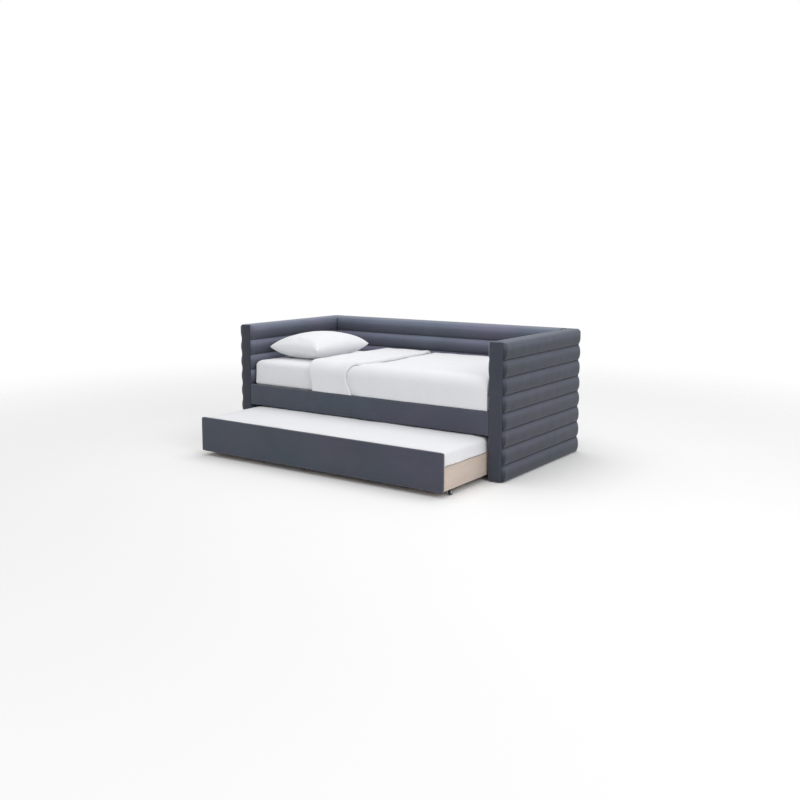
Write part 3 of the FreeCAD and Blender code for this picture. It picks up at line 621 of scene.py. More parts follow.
def long_pad(name, outline, start, stop, across, upright, along, step, edge, crown, nodes):
    """A closed outline carried along a line, its ends rounded and its skin a little uneven."""
    length = (stop - start).length
    count = max(6, round(length / step))
    cx = sum(p[0] for p in outline) / len(outline)
    cy = sum(p[1] for p in outline) / len(outline)
    places = [(i / 5) ** 2 * edge for i in range(5)]
    middle = [edge + (length - 2 * edge) * i / count for i in range(count + 1)]
    places = places + middle + [length - p for p in reversed(places)]
    points = []
    for s in places:
        near = min(s, length - s)
        inset = edge * (1 - math.sqrt(max(0.0, 1 - (1 - min(1.0, near / edge)) ** 2)))
        for u, v in outline:
            du = u - cx
            dv = v - cy
            reach = math.hypot(du, dv) or 1.0
            pull = max(0.0, 1 - inset / reach)
            spot = start + along * s + across * (cx + du * pull) + upright * (cy + dv * pull)
            spot += (across * du + upright * dv) / reach * (crown * ripple(spot, 9.0, 5.0))
            points.append(spot)
    faces = tube_faces(len(places), len(outline))
    piece = add_piece(name, points, faces, "velvet", "daybed", nodes)
    face_outwards(piece)
    return piece


def rounded_outline(u0, v0, u1, v1, radius, per_side=10, crown=0.0):
    """A rectangle with round corners, its sides divided and slightly bowed outwards."""
    corners = [(u1 - radius, v0 + radius, -90), (u1 - radius, v1 - radius, 0),
               (u0 + radius, v1 - radius, 90), (u0 + radius, v0 + radius, 180)]
    outline = []
    for i, (cx, cy, start) in enumerate(corners):
        arc = arc_points(cx, cy, radius, start, start + 90, 5)
        outline += arc
        nx, ny, after = corners[(i + 1) % 4]
        tail = arc[-1]
        head = arc_points(nx, ny, radius, after, after + 90, 5)[0]
        bow = math.radians(start + 90)
        for k in range(1, per_side):
            share = k / per_side
            lift = crown * math.sin(math.pi * share)
            outline.append((tail[0] + (head[0] - tail[0]) * share + math.cos(bow) * lift,
                            tail[1] + (head[1] - tail[1]) * share + math.sin(bow) * lift))
    return outline


def block_faces(counts, point):
    """Faces over a block's six sides. point gives the number of the point at a place in its grid."""
    faces = []
    for axis in range(3):
        a, b = [n for n in range(3) if n != axis]
        for end in (0, counts[axis]):
            for i in range(counts[a]):
                for j in range(counts[b]):
                    ring = []
                    for da, db in ((0, 0), (1, 0), (1, 1), (0, 1)):
                        key = [end, end, end]
                        key[a] = i + da
                        key[b] = j + db
                        ring.append(point(*key))
                    faces.append(tuple(ring))
    return faces


def stretched_block(name, node):
    """A closed block of evenly spaced points with round edges, for cloth stretched over a frame."""
    low, high = box(node)
    size = high - low
    counts = [max(4, round(size[i] / COVER_STEP)) for i in range(3)]
    index = {}
    points = []

    def point(i, j, k):
        key = (i, j, k)
        if key not in index:
            index[key] = len(points)
            share = Vector((i / counts[0], j / counts[1], k / counts[2]))
            spot = Vector([low[a] + size[a] * share[a] for a in range(3)])
            core = Vector([min(max(spot[a], low[a] + COVER_ROUND), high[a] - COVER_ROUND) for a in range(3)])
            arm = spot - core
            if arm.length > COVER_ROUND:
                arm = arm.normalized() * COVER_ROUND
            points.append(core + arm)
        return index[key]

    faces = block_faces(counts, point)
    piece = add_piece(name, points, faces, "velvet", "daybed", [node])
    face_outwards(piece)
    return piece


def stretched_cover(name, node, axis, seams=()):
    """A flat run of upholstery cloth stretched over its frame, with upright seams at some places."""
    low, high = box(node)
    piece = stretched_block(name, node)
    middle = (low[axis] + high[axis]) / 2
    creases = []
    for vertex in piece.data.vertices:
        spot = vertex.co
        face = 1 if spot[axis] > middle else -1
        near = 0.0
        for place in seams:
            near = max(near, math.exp(-abs(spot[1 - axis] - place) / 0.009))
        # Painted shade along each seam, as well as the seam's small dent.
        creases.append(near)
        spot[axis] += face * (0.0012 * ripple(spot, 6.0, 8.0) - 0.0022 * near)
    add_values(piece, "crease", creases)


def simulate(piece, pressure, frames, cap, stiffness=20.0, hold=None):
    """Puff a closed piece up as cloth, cap how far each point moves, and keep the result."""
    mesh = piece.data
    before = [vertex.co.copy() for vertex in mesh.vertices]
    if hold:
        pinned = piece.vertex_groups.new(name="held")
        for vertex in mesh.vertices:
            weight = hold(vertex)
            if weight > 0:
                pinned.add([vertex.index], weight, "REPLACE")
    cloth = piece.modifiers.new("Cloth", "CLOTH")
    setting = cloth.settings
    setting.use_pressure = True
    setting.uniform_pressure_force = pressure
    setting.tension_stiffness = stiffness
    setting.compression_stiffness = stiffness
    setting.shear_stiffness = stiffness / 3
    setting.bending_stiffness = 0.4
    setting.mass = 0.3
    setting.air_damping = 2.0
    setting.quality = 5
    setting.effector_weights.gravity = 0.0
    if hold:
        setting.vertex_group_mass = "held"
    cloth.point_cache.frame_start = 1
    cloth.point_cache.frame_end = frames
    scene = bpy.context.scene
    for number in range(1, frames + 1):
        scene.frame_set(number)
    graph = bpy.context.evaluated_depsgraph_get()
    settled = [vertex.co.copy() for vertex in piece.evaluated_get(graph).data.vertices]
    piece.modifiers.remove(cloth)
    scene.frame_set(1)
    for vertex, start, stop in zip(mesh.vertices, before, settled):
        move = stop - start
        if move.length > cap:
            move = move.normalized() * cap
        vertex.co = start + move
    mesh.update()


def subdivide(piece):
    """Smooth a piece by one subdivision, and keep the result."""
    modifier = piece.modifiers.new("Smooth", "SUBSURF")
    modifier.levels = 1
    graph = bpy.context.evaluated_depsgraph_get()
    smooth = bpy.data.meshes.new_from_object(piece.evaluated_get(graph))
    piece.modifiers.remove(modifier)
    old = piece.data
    piece.data = smooth
    bpy.data.meshes.remove(old)
    piece.data.shade_smooth()


def tuck_corners(piece, low, high, depth):
    """Press a fitted sheet's corner pleats into the sides of a mattress, and let its top be uneven."""
    for vertex in piece.data.vertices:
        spot = vertex.co
        height = (spot.z - low.z) / (high.z - low.z)
        from_x = min(spot.x - low.x, high.x - spot.x)
        from_y = min(spot.y - low.y, high.y - spot.y)
        if min(from_x, from_y) < 0.02 and height < 0.94:
            from_corner = max(from_x, from_y)
            if from_x < from_y:
                inward = Vector((math.copysign(1, -spot.x), 0, 0))
            else:
                inward = Vector((0, math.copysign(1, (low.y + high.y) / 2 - spot.y), 0))
            pull = 0.0
            for place, size in PLEATS:
                lean = place * (0.75 + 0.45 * height)
                pull += size * math.exp(-((from_corner - lean) / PLEAT_WIDTH) ** 2)
            pull *= 1 - ease((height - 0.5) / 0.45)
            pull += 0.45 * ripple(spot, 8.0, 6.0)
            spot += inward * depth * pull
        elif height > 0.9:
            spot.z += depth * 0.30 * ripple((spot.x, spot.y, 0.3), 4.5, 1.0)
            spot.z += depth * 0.14 * ripple((spot.x, spot.y, 0.7), 17.0, 7.0)
    piece.data.update()


# ---------------------------------------------------------------- upholstery


class DAYBED_OT_arms(bpy.types.Operator):
    """Make both arms: outer and inner channels, plain borders and top covers"""

    bl_idname = "daybed.arms"
    bl_label = "Arms"

    def execute(self, context):
        for side, sign in SIDES.items():
            self.channels(side, sign)
            self.borders(side, sign)
            self.top(side, sign)
            stretched_cover("arm_%s_lower_lining" % side, "arm_%s_lining" % side, 0)
            paint_node("arm_%s_core" % side, "velvet")
        return {"FINISHED"}

    def channels(self, side, sign):
        """The puffed panels on the arm's two faces."""
        radius = sizes().corner
        low, high = box("arm_%s_outer_channels" % side)
        post_low, post_high = box("arm_%s_front_border" % side)
        rear = box("arm_%s_rear_border" % side)[1].y
        core_low, core_high = box("arm_%s_core" % side)
        seam_x = post_high.x if sign > 0 else post_low.x
        core_x = core_high.x if sign > 0 else core_low.x
        bulge = max(abs(low.x), abs(high.x)) - abs(seam_x)
        depth = abs(seam_x) - abs(core_x)
        pitch = CAD_TOP / ARM_ROWS
        path = PlanPath(rear - post_low.y, radius, math.radians(50), sizes().run_step)
        corner = Vector((seam_x, post_low.y, 0.0))
        piece = channel_cushion(
            "arm_%s_outer_cushion" % side, corner, Vector((0, 1, 0)), Vector((sign, 0, 0)), path,
            ARM_ROWS, pitch, depth, bulge, (0.030, 0.030), ["arm_%s_outer_channels" % side], "daybed",
            painted_light_lift=OUTER_PAINTED_LIGHT)
        # The cover is drawn under the arm, level with its frame.
        for vertex in piece.data.vertices:
            vertex.co.z = max(vertex.co.z, low.z)
        low, high = box("arm_%s_inner_channels" % side)
        seam_x = post_low.x if sign > 0 else post_high.x
        bulge = abs(seam_x) - min(abs(low.x), abs(high.x))
        start = post_low.y + 0.0035
        path = PlanPath(high.y - start, 0.0, 0.0, sizes().run_step)
        channel_cushion(
            "arm_%s_inner_cushion" % side, Vector((seam_x, start, low.z)), Vector((0, 1, 0)),
            Vector((-sign, 0, 0)), path, BACK_ROWS, pitch, depth, bulge, (0.016, 0.030),
            ["arm_%s_inner_channels" % side], "daybed", overlap=post_high.y - start, painted_light_lift=INNER_PAINTED_LIGHT)

    def borders(self, side, sign):
        """The plain upright strips at the arm's front and rear."""
        radius = sizes().corner
        small = 0.007
        for end, facing in (("front", -1), ("rear", 1)):
            low, high = box("arm_%s_%s_border" % (side, end))
            wide = high.x - low.x
            deep = high.y - low.y
            # Drawn with u from the inner edge outwards and v from the end face inwards.
            outline = [(0.0, deep)]
            outline += arc_points(small, small, small, 180, 270, 5)
            for i in range(1, 9):
                share = i / 9
                outline.append((small + (wide - radius - small) * share,
                                -0.0012 * math.sin(math.pi * share)))
            outline += arc_points(wide - radius, radius, radius, 270, 314, 5)
            outline += arc_points(wide - radius, radius, radius - 0.008, 318, 335, 2)
            outline.append((wide - 0.016, deep))
            across = Vector((sign, 0, 0))
            upright = Vector((0, -facing, 0))
            start = Vector((low.x if sign > 0 else high.x, low.y if end == "front" else high.y, low.z))
            strip = long_pad("arm_%s_%s_strip" % (side, end), outline, start,
                             start + Vector((0, 0, high.z - low.z)), across, upright, Vector((0, 0, 1)),
                             0.02, 0.009, 0.0008, ["arm_%s_%s_border" % (side, end)])
            # Painted shade all over the strip, stronger on the left arm.
            add_values(strip, "crease", [STRIP_PAINTED_SHADE[side]] * len(strip.data.vertices))

    def top(self, side, sign):
        """The crowned strip along the arm's top, between its two rolled-over panels."""
        low, high = box("arm_%s_top_cover" % side)
        top_pad("arm_%s_top_pad" % side, Vector((low.x, low.y - 0.004, low.z)),
                Vector((low.x, high.y + 0.004, low.z)), Vector((1, 0, 0)), high.x - low.x, high.z - low.z,
                "arm_%s_top_cover" % side, TOP_PAINTED_LIGHT[side])


def top_pad(name, start, stop, across, wide, thick, node, raised):
    """A strip of padding along the top of an arm or the back, tucked under the rolls beside it."""
    tuck = 0.004
    outline = rounded_outline(-tuck, 0.0, wide + tuck, thick - 0.0003, 0.003, 10, 0.0022)
    along = (stop - start).normalized()
    piece = long_pad(name, outline, start, stop, across, Vector((0, 0, 1)), along, 0.02, 0.003, 0.0005,
                     [node])
    # Painted light on the whole strip.
    add_values(piece, "raised", [raised] * len(piece.data.vertices))


class DAYBED_OT_back(bpy.types.Operator):
    """Make the back: its channels, top cover and rear cover"""

    bl_idname = "daybed.back"
    bl_label = "Back"

    def execute(self, context):
        low, high = box("back_channels")
        seam_y = box("back_lining")[0].y
        path = PlanPath(high.x - low.x, 0.0, 0.0, sizes().run_step)
        channel_cushion("back_cushion", Vector((low.x, seam_y, low.z)), Vector((1, 0, 0)),
                        Vector((0, -1, 0)), path, BACK_ROWS, CAD_TOP / ARM_ROWS, high.y - seam_y,
                        seam_y - low.y, (0.030, 0.030), ["back_channels"], "daybed", painted_light_lift=BACK_PAINTED_LIGHT)
        low, high = box("back_top_cover")
        top_pad("back_top_pad", Vector((low.x, low.y, low.z)), Vector((high.x, low.y, low.z)),
                Vector((0, 1, 0)), high.y - low.y, high.z - low.z, "back_top_cover", TOP_PAINTED_LIGHT["back"])
        stretched_cover("back_rear_panel", "back_rear_cover", 1, (-0.333, 0.333))
        stretched_cover("back_lower_lining", "back_lining", 1)
        paint_node("back_core", "velvet")
        return {"FINISHED"}


class DAYBED_OT_rail(bpy.types.Operator):
    """Make the front rail's padded cover"""

    bl_idname = "daybed.rail"
    bl_label = "Front rail"

    def execute(self, context):
        low, high = box("front_rail_cover")
        outline = rounded_outline(0.0, 0.0, high.y - low.y, high.z - low.z, 0.008, 12, 0.0015)
        start = Vector((low.x, low.y, low.z))
        stop = Vector((high.x, low.y, low.z))
        long_pad("front_rail_pad", outline, start, stop, Vector((0, 1, 0)), Vector((0, 0, 1)),
                 Vector((1, 0, 0)), 0.02, 0.006, 0.0009, ["front_rail_cover", "front_rail_core"])
        return {"FINISHED"}


class DAYBED_OT_trundle_front(bpy.types.Operator):
    """Make the trundle front's padded cover, open at the rear over its board"""

    bl_idname = "daybed.trundle_front"
    bl_label = "Trundle front"

    def execute(self, context):
        low, high = box("trundle_front_cover")
        wrap = box("trundle_front_core")[0].x - low.x
        long = high.x - low.x
        tall = high.z - low.z
        deep = high.y - low.y
        edge = 0.009
        gap = 0.0006
        tuck = 0.012
        columns = 160
        rows = 26
        points = []
        grid = []
        # The face first, then rings of points: round its edge, back to the rear and in over the board.
        for i in range(columns + 1):
            line = []
            for j in range(rows + 1):
                u = i / columns
                v = j / rows
                x = low.x + edge + (long - 2 * edge) * u
                z = low.z + edge + (tall - 2 * edge) * v
                crown = 0.0015 * math.sin(math.pi * u) ** 0.3 * math.sin(math.pi * v) ** 0.5
                y = low.y - crown + 0.0010 * ripple((x, 0, z), 7.0, 2.0)
                line.append(len(points))
                points.append(Vector((x, y, z)))
            grid.append(line)
        faces = []
        for i in range(columns):
            for j in range(rows):
                faces.append((grid[i][j], grid[i + 1][j], grid[i + 1][j + 1], grid[i][j + 1]))
        border = ([grid[i][0] for i in range(columns)] + [grid[columns][j] for j in range(rows)]
                  + [grid[i][rows] for i in range(columns, 0, -1)] + [grid[0][j] for j in range(rows, 0, -1)])
        outer = border
        middle = Vector(((low.x + high.x) / 2, 0, (low.z + high.z) / 2))
        half = Vector((long / 2 - edge, 0, tall / 2 - edge))
        rings = []
        for share in (0.25, 0.5, 0.75, 1.0):
            angle = math.radians(90 * share)
            rings.append((edge * math.sin(angle), edge * (1 - math.cos(angle))))
        rings.append((edge, deep * 0.6))
        rings.append((edge, deep))
        rings.append((edge - wrap + gap, deep))
        rings.append((edge - wrap + gap, deep - tuck))
        for spread, back in rings:
            fresh = []
            for number in border:
                flat = points[number] - middle
                over = Vector((0, 0, 0))
                if abs(abs(flat.x) - half.x) < 1e-4:
                    over.x = math.copysign(1, flat.x)
                if abs(abs(flat.z) - half.z) < 1e-4:
                    over.z = math.copysign(1, flat.z)
                over = over.normalized() * spread if over.length else over
                fresh.append(len(points))
                points.append(Vector((points[number].x + over.x, low.y + back, points[number].z + over.z)))
            count = len(border)
            for a in range(count):
                b = (a + 1) % count
                faces.append((outer[a], fresh[a], fresh[b], outer[b]))
            outer = fresh
        piece = add_piece("trundle_front_pad", points, faces, "velvet", "trundle", ["trundle_front_cover"])
        face_outwards(piece)
        # Painted shade all over the trundle front's cover.
        add_values(piece, "crease", [TRUNDLE_PAINTED_SHADE] * len(piece.data.vertices))
        paint_node("trundle_front_core", "timber_x")
        return {"FINISHED"}


# ---------------------------------------------------------------- bedding


def foam_block(name, low, high, top_round, crown, step, body, nodes):
    """A mattress: an upright-sided block with a softly rounded top edge and a crowned top."""
    plan_round = 0.014
    foot = 0.006
    straight = max(3, round((high.z - low.z - top_round - foot) / step))
    levels = [(low.z, foot)]
    for i in range(straight + 1):
        levels.append((low.z + foot + (high.z - low.z - top_round - foot) * i / straight, 0.0))
    for angle in (22.5, 45.0, 67.5, 90.0):
        a = math.radians(angle)
        levels.append((high.z - top_round + top_round * math.sin(a), top_round * (1 - math.cos(a))))
    middle = (low + high) / 2
    half = (high - low) / 2
    counts = [round(2 * half.x / step), round(2 * half.y / step), len(levels) - 1]
    index = {}
    points = []

    def point(i, j, k):
        key = (i, j, k)
        if key not in index:
            index[key] = len(points)
            z, inset = levels[k]
            spot = Vector((half.x * (2 * i / counts[0] - 1), half.y * (2 * j / counts[1] - 1)))
            core = Vector([max(-half[a] + plan_round, min(half[a] - plan_round, spot[a])) for a in range(2)])
            arm = spot - core
            if arm.length > plan_round:
                spot = core + arm.normalized() * plan_round
            spot = Vector([spot[a] * (half[a] - inset) / half[a] for a in range(2)])
            if k == counts[2]:
                z += crown * math.sqrt(max(0.0, math.sin(math.pi * i / counts[0]))
                                       * max(0.0, math.sin(math.pi * j / counts[1])))
            points.append(Vector((middle.x + spot.x, middle.y + spot.y, z)))
        return index[key]

    faces = block_faces(counts, point)
    piece = add_piece(name, points, faces, "sheet", body, nodes)
    face_outwards(piece)
    return piece


def make_mattress(name, node, body, reach, top_round, pleat):
    """A foam mattress in a fitted sheet: puffed as cloth, then pleated at its corners.

    reach is how much longer it is at each end than its plain solid."""
    low, high = box(node)
    cap = 0.005
    grow = Vector((reach, -0.002, 0.0))
    foam_low = low - grow
    foam_high = high + grow - Vector((0, 0, cap))
    piece = foam_block(name, foam_low, foam_high, top_round, 0.004, 0.022, body, [node])
    simulate(piece, 2.5, 12, cap, hold=lambda vertex: float(vertex.co.z < low.z + 0.008))
    subdivide(piece)
    tuck_corners(piece, foam_low, foam_high, pleat)
    for vertex in piece.data.vertices:
        vertex.co.z = max(vertex.co.z, low.z + 0.0003)


class DAYBED_OT_mattresses(bpy.types.Operator):
    """Make both mattresses in their fitted sheets"""

    bl_idname = "daybed.mattresses"
    bl_label = "Mattresses"

    def execute(self, context):
        make_mattress("mattress_sheet", "mattress", "daybed", 0.004, 0.034, 0.003)
        make_mattress("trundle_mattress_sheet", "trundle_mattress", "trundle", 0.0, 0.026, 0.0085)
        return {"FINISHED"}


class DAYBED_OT_pillow(bpy.types.Operator):
    """Make the pillow: two layers of cotton sewn round the edge and filled"""

    bl_idname = "daybed.pillow"
    bl_label = "Pillow"

    def execute(self, context):
        low, high = box("pillow")
        middle = (low + high) / 2
        flat = Vector((sizes().pillow_wide, sizes().pillow_long, 0))
        columns, rows = 44, 56
        points = []
        faces = []
        index = {}
        for layer in (1, -1):
            for i in range(columns + 1):
                for j in range(rows + 1):
                    rim = i in (0, columns) or j in (0, rows)
                    key = (i, j, 0 if rim else layer)
                    if key in index:
                        continue
                    u = 2 * i / columns - 1
                    v = 2 * j / rows - 1
                    puff = max(0.0, (1 - u * u) * (1 - v * v)) ** 0.44
                    index[key] = len(points)
                    slim = 0.075
                    height = layer * 0.088 * puff + 0.0010 * ripple((u, v, layer), 6.0)
                    points.append(Vector((flat.x / 2 * u * (1 - slim * (1 - v * v)),
                                          flat.y / 2 * v * (1 - slim * (1 - u * u)), height)))
            for i in range(columns):
                for j in range(rows):
                    ring = []
                    for a, b in ((i, j), (i + 1, j), (i + 1, j + 1), (i, j + 1)):
                        rim = a in (0, columns) or b in (0, rows)
                        ring.append(index[(a, b, 0 if rim else layer)])
                    faces.append(tuple(ring if layer > 0 else reversed(ring)))
        piece = add_piece("pillow_case", points, faces, "pillowcase", "daybed", ["pillow"])
        simulate(piece, 5.0, 16, 0.014, stiffness=24.0)
        self.settle(piece, middle, low.z, high.z)
        subdivide(piece)
        return {"FINISHED"}

    @staticmethod
    def settle(piece, middle, floor, top):
        """Lay the filled pillow on the mattress: its underside flattens and its tips lift."""
        mesh = piece.data
        heights = [vertex.co.z for vertex in mesh.vertices]
        lowest, highest = min(heights), max(heights)
        scale = (top - floor) / (highest - lowest) * 1.10
        for vertex in mesh.vertices:
            z = vertex.co.z * scale
            bottom = lowest * scale
            # Squash the lower tenth flat where it rests.
            press = bottom + (top - floor) * 0.10
            if z < press:
                z = press - (press - z) * 0.15
            vertex.co.z = z
        lift = floor - min(vertex.co.z for vertex in mesh.vertices) + 0.001
        for vertex in mesh.vertices:
            vertex.co += Vector((middle.x, middle.y, lift))
        mesh.update()


class DAYBED_OT_duvet(bpy.types.Operator):
    """Make the duvet and its turned-down part"""

    bl_idname = "daybed.duvet"
    bl_label = "Duvet"

    def execute(self, context):
        self.bed_low, self.bed_high = box("mattress")
        low, high = box("duvet")
        self.bottom = low.z - 0.001
        self.profile = self.bed_profile()
        loft = sizes().duvet_loft
        pressed = loft * 0.52
        hem = sizes().hem_place

        def head(front):
            """Where the duvet is folded back on itself, which creeps headwards up the front."""
            return low.x + 0.020 - 0.046 * ease(front / 0.26)

        def hem_edge(front):
            """Where the turned-down hem lies: drawn back by a tuck on the front drop, then gently waving."""
            place = hem - 0.055 * math.exp(-((front - 0.12) / 0.09) ** 2)
            if front > 0.3:
                place += 0.030 * math.sin(math.pi * (front - 0.3) / 0.8)
            return place

        def base_thickness(x, front):
            """The base layer is squeezed under the turned-down part, and swells beyond its hem."""
            plain = pressed + (loft - pressed) * ease((x - hem_edge(front) - 0.004) / 0.060)
            return plain * self.unevenness(x, front, 1.0)

        def fold_thickness(x, front):
            """The turned-down part is fullest along its hem."""
            full = 1 + 0.35 * math.exp(-((hem_edge(front) - x) / 0.05) ** 2)
            return sizes().fold_loft * full * self.unevenness(x, front, 2.0)

        self.layer("duvet_quilt", lambda front: head(front) + 0.010, lambda front: high.x + 0.006,
                   lambda x, front: 0.0, base_thickness, (0.016, 0.020), ["duvet"])
        self.layer("duvet_turned_down", head, hem_edge, lambda x, front: base_thickness(x, front) + 0.0012,
                   fold_thickness, (0.020, 0.012), ["duvet_fold"], wraps=True)
        return {"FINISHED"}

    @staticmethod
    def unevenness(x, front, seed):
        """How much thicker or thinner the filling is at a place, as a share."""
        return 1 + 0.26 * ripple((x, front, seed), 3.4, seed) + 0.10 * ripple((x, front, seed), 11.0, seed)

    def bed_profile(self):
        """The mattress section that the duvet lies on, back to front.

        Each place is (y, z, outward tilt in degrees)."""
        low, high = self.bed_low, self.bed_high
        back_round = 0.030
        front_round = 0.050
        z_top = high.z + 0.0015
        rear = high.y - 0.004
        front = low.y - 0.0005
        places = []
        for i in range(5):
            places.append((rear, z_top - back_round - 0.050 * (1 - i / 5), 90.0))
        for angle in range(0, 90, 10):
            a = math.radians(angle)
            places.append((rear - back_round + back_round * math.cos(a),
                           z_top - back_round + back_round * math.sin(a), 90.0 - angle))
        count = 60
        first = rear - back_round
        last = front + front_round
        for i in range(count + 1):
            places.append((first + (last - first) * i / count, z_top, 0.0))
        for angle in range(8, 91, 8):
            a = math.radians(min(90, angle + 2 * (angle > 80)))
            places.append((last - front_round * math.sin(a), z_top - front_round + front_round * math.cos(a),
                           -math.degrees(a)))
        drop = z_top - front_round
        for i in range(1, 17):
            places.append((front, drop - (drop - self.bottom) * i / 16, -90.0))
        return places

    def layer(self, name, head, foot, under, loft, edges, nodes, wraps=False):
        """One layer of quilt over the bed's section, puffed as cloth, with soft edges all round.

        head, foot, under and loft say where it starts and stops along the bed, what lies beneath it and
        how thick it is, by how far a place is from the bottom of the front drop."""
        run = [0.0]
        for a, b in zip(self.profile, self.profile[1:]):
            run.append(run[-1] + math.hypot(b[0] - a[0], b[1] - a[1]))
        total = run[-1]
        fronts = [total - gone for gone in run]
        edge = max(edges)
        length = foot(total / 2) - head(total / 2)
        columns = max(24, round(length / 0.012))
        lip = [0.5 * edge / length * (i / 5) ** 1.6 for i in range(5)]
        shares = lip + [lip[-1] + (1 - 2 * lip[-1]) * i / columns for i in range(1, columns)]
        shares += [1 - share for share in reversed(lip)]
        points = []
        for share in shares:
            loop_out = []
            loop_in = []
            for (y, z, tilt), front in zip(self.profile, fronts):
                first, last = head(front), foot(front)
                x = first + (last - first) * share
                drop = math.sin(math.radians(abs(tilt))) * (1 if tilt < 0 else 0.6)
                full = 1.0
                for near, width in ((x - first, edges[0]), (last - x, edges[1]), (front + 0.002, 0.006),
                                    (total - front, 0.015)):
                    full *= math.sqrt(max(0.0, 1 - (1 - min(1.0, near / width)) ** 2))
                thick = loft(x, front) * (1 - DROP_THINNING * drop)
                beneath = under(x, front) * (1 - DROP_THINNING * drop)
                if wraps:
                    # At the fold the cloth turns back under itself.
                    turn = 1 - ease((x - first) / edges[0])
                    thick += beneath * turn
                    beneath *= 1 - turn
                angle = math.radians(tilt)
                facing = Vector((0, math.sin(angle), math.cos(angle)))
                # Slack in the front drop hangs in shallow upright folds.
                slack = 0.0024 * drop * ripple((x * 1.6, front * 0.35, 1.0), 7.0, 5.0)
                spot = Vector((x, y, z)) + facing * (beneath + thick * 0.5 + slack)
                loop_out.append(spot + facing * thick * 0.5 * full)
                loop_in.append(spot - facing * thick * 0.5 * full)
            points += loop_out + list(reversed(loop_in))
        count = len(self.profile)
        faces = tube_faces(len(shares), 2 * count, paired=True)
        piece = add_piece(name, points, faces, "quilt", "daybed", nodes)
        face_outwards(piece)
        simulate(piece, 2.2, 12, 0.006, hold=lambda vertex: float(vertex.index % (2 * count) >= count))
        subdivide(piece)


# ---------------------------------------------------------------- wheels


class DAYBED_OT_wheels(bpy.types.Operator):
    """Make the four trundle wheels: grooved tyres on dished hubs"""

    bl_idname = "daybed.wheels"
    bl_label = "Wheels"

    def execute(self, context):
        for end in ("front", "rear"):
            for side in SIDES:
                name = "%s_%s" % (end, side)
                self.tyre(name)
                self.hub(name)
        return {"FINISHED"}

    def tyre(self, name):
        """A rubber tyre with round shoulders and a groove round its tread."""
        low, high = box("tyre_" + name)
        half = (high.x - low.x) / 2
        outer = (high.z - low.z) / 2
        inner = round_radius("hub_" + name)
        shoulder = 0.0028
        outline = [(-half, inner)]
        outline += [(-half + shoulder - shoulder * math.cos(a), outer - shoulder + shoulder * math.sin(a))
                    for a in [math.radians(15 * i) for i in range(7)]]
        outline += [(-0.0014, outer), (-0.0008, outer - 0.0009), (0.0008, outer - 0.0009), (0.0014, outer)]
        outline += [(half - shoulder + shoulder * math.sin(a), outer - shoulder + shoulder * math.cos(a))
                    for a in [math.radians(15 * i) for i in range(7)]]
        outline.append((half, inner))
        turned_piece("tyre_%s_ring" % name, (low + high) / 2, outline, "tyre", "wheel_" + name,
                     ["tyre_" + name])

    def hub(self, name):
        """A pressed steel hub: a rim, a dished web and a boss round the axle."""
        low, high = box("hub_" + name)
        half = (high.x - low.x) / 2
        outer = (high.z - low.z) / 2
        bore = round_radius("wheel_axles") + 0.0003
        dish = half * 0.45
        side = [(half * 0.96, bore), (half, bore + 0.0006), (half, bore + 0.0018), (dish, bore + 0.0028),
                (dish, outer - 0.0026), (half * 0.92, outer - 0.0016), (half * 0.92, outer - 0.0002)]
        outline = [(-x, r) for x, r in side] + [(x, r) for x, r in reversed(side)]
        turned_piece("hub_%s_disc" % name, (low + high) / 2, outline, "steel", "wheel_" + name,
                     ["hub_" + name])


def turned_piece(name, centre, outline, kind, body, nodes):
    """A closed (sideways, radius) outline turned round a level axle."""
    steps = 48
    count = len(outline)
    points = []
    faces = []
    for i in range(steps):
        angle = 2 * math.pi * i / steps
        for side, radius in outline:
            points.append(centre + Vector((side, radius * math.cos(angle), radius * math.sin(angle))))
        for j in range(count):
            a, b = i * count, (i + 1) % steps * count
            faces.append((a + j, a + (j + 1) % count, b + (j + 1) % count, b + j))
    piece = add_piece(name, points, faces, kind, body, nodes)
    face_outwards(piece)
    piece.data.set_sharp_from_angle(angle=math.radians(38))


# ---------------------------------------------------------------- frame finishes


class DAYBED_OT_frame_finishes(bpy.types.Operator):
    """Give the timber, steel and plastic parts their finishes"""

    bl_idname = "daybed.frame_finishes"
    bl_label = "Frame finishes"

    def execute(self, context):
        groups = {
            "timber_x": ["deck_ledger_front", "deck_ledger_rear", "deck_beam", "trundle_rear_board",
                         "trundle_ledger_front", "trundle_ledger_rear", "trundle_beam",
                         "trundle_inner_board"],
            "timber_y": ["deck_slats", "trundle_slats", "trundle_side_left", "trundle_side_right"],
            "timber_z": ["trundle_corner_blocks"],
            "steel": ["corner_angles", "corner_bolts", "wheel_plates", "wheel_axles", "wheel_screws"],
            "glide": ["floor_glides"],
        }
        for kind, nodes in groups.items():
            for node in nodes:
                paint_node(node, kind)
        return {"FINISHED"}


# ---------------------------------------------------------------- stage


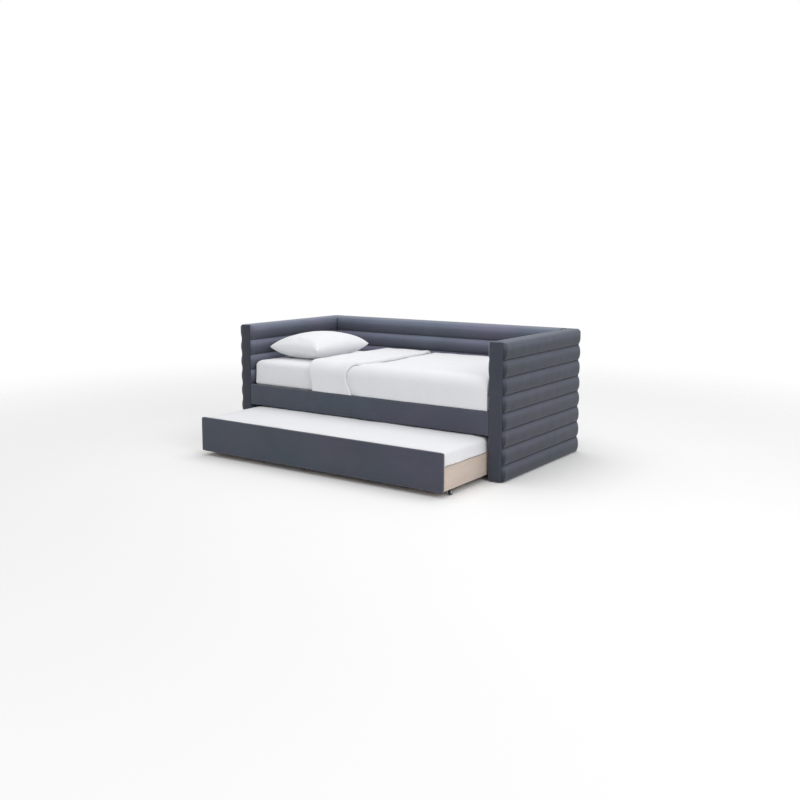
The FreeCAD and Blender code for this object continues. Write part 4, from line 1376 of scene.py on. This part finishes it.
class DAYBED_OT_stage(bpy.types.Operator):
    """Make the floor, the soft lights and the camera"""

    bl_idname = "daybed.stage"
    bl_label = "Stage"

    def execute(self, context):
        mesh = bpy.data.meshes.new("studio_floor")
        steps = 64
        angles = [2 * math.pi * i / steps for i in range(steps)]
        ring = [(FLOOR_REACH * math.cos(a), FLOOR_REACH * math.sin(a), FLOOR_TOP) for a in angles]
        mesh.from_pydata(ring, [], [tuple(range(steps))])
        floor = bpy.data.objects.new("studio_floor", mesh)
        context.scene.collection.objects.link(floor)
        mesh.materials.append(studio_floor("studio_floor", colours().floor, FLOOR_REACH))
        self.lights(context)
        self.camera(context)
        return {"FINISHED"}

    @staticmethod
    def lights(context):
        """A white surround, dimmer as light than as backdrop, and two large soft panels."""
        world = bpy.data.worlds.new("studio")
        context.scene.world = world
        world.use_nodes = True
        tree = world.node_tree
        backdrop = tree.nodes["Background"]
        backdrop.inputs["Color"].default_value = (1.0, 1.0, 1.0, 1.0)
        seen = tree.nodes.new("ShaderNodeLightPath")
        blend = tree.nodes.new("ShaderNodeMapRange")
        blend.inputs["To Min"].default_value = SURROUND_LIGHT
        blend.inputs["To Max"].default_value = 1.0
        tree.links.new(seen.outputs["Is Camera Ray"], blend.inputs["Value"])
        tree.links.new(blend.outputs["Result"], backdrop.inputs["Strength"])
        for name, place, aim, wide, watts in PANELS:
            light = bpy.data.lights.new(name, "AREA")
            light.shape = "SQUARE"
            light.size = wide
            light.energy = watts
            lamp = bpy.data.objects.new(name, light)
            lamp.location = place
            lamp.rotation_euler = (Vector(aim) - Vector(place)).to_track_quat("-Z", "Y").to_euler()
            context.scene.collection.objects.link(lamp)

    @staticmethod
    def camera(context):
        """The camera stands in front and to the right, above the arms, and looks slightly down."""
        lens = bpy.data.cameras.new("camera")
        lens.sensor_width = 36.0
        lens.lens = CAMERA_LENS
        lens.shift_y = CAMERA_SHIFT
        lens.clip_end = 200.0
        viewer = bpy.data.objects.new("camera", lens)
        viewer.location = CAMERA_PLACE
        viewer.rotation_euler = [math.radians(degrees) for degrees in CAMERA_TURN]
        context.scene.collection.objects.link(viewer)
        context.scene.camera = viewer
        context.scene.view_settings.view_transform = "Standard"


# ---------------------------------------------------------------- add-on


class DAYBED_PT_panel(bpy.types.Panel):
    """Lists the daybed's pieces in the sidebar"""

    bl_idname = "DAYBED_PT_panel"
    bl_label = "Trundle daybed"
    bl_space_type = "VIEW_3D"
    bl_region_type = "UI"
    bl_category = "Daybed"

    def draw(self, context):
        layout = self.layout
        for group in (context.scene.daybed_sizes, context.scene.daybed_colours):
            column = layout.column()
            for key in group.__annotations__:
                column.prop(group, key)
        for operator in OPERATORS:
            layout.operator(operator.bl_idname)


OPERATORS = (
    DAYBED_OT_arms,
    DAYBED_OT_back,
    DAYBED_OT_rail,
    DAYBED_OT_trundle_front,
    DAYBED_OT_mattresses,
    DAYBED_OT_pillow,
    DAYBED_OT_duvet,
    DAYBED_OT_wheels,
    DAYBED_OT_frame_finishes,
    DAYBED_OT_stage,
)
CLASSES = (DaybedSizes, DaybedColours, *OPERATORS, DAYBED_PT_panel)


def register():
    for item in CLASSES:
        bpy.utils.register_class(item)
    bpy.types.Scene.daybed_sizes = PointerProperty(type=DaybedSizes)
    bpy.types.Scene.daybed_colours = PointerProperty(type=DaybedColours)


def unregister():
    del bpy.types.Scene.daybed_sizes
    del bpy.types.Scene.daybed_colours
    for item in reversed(CLASSES):
        bpy.utils.unregister_class(item)


def main():
    register()
    for operator in OPERATORS:
        group, name = operator.bl_idname.split(".")
        getattr(getattr(bpy.ops, group), name)()


if __name__ == "__main__":
    main()
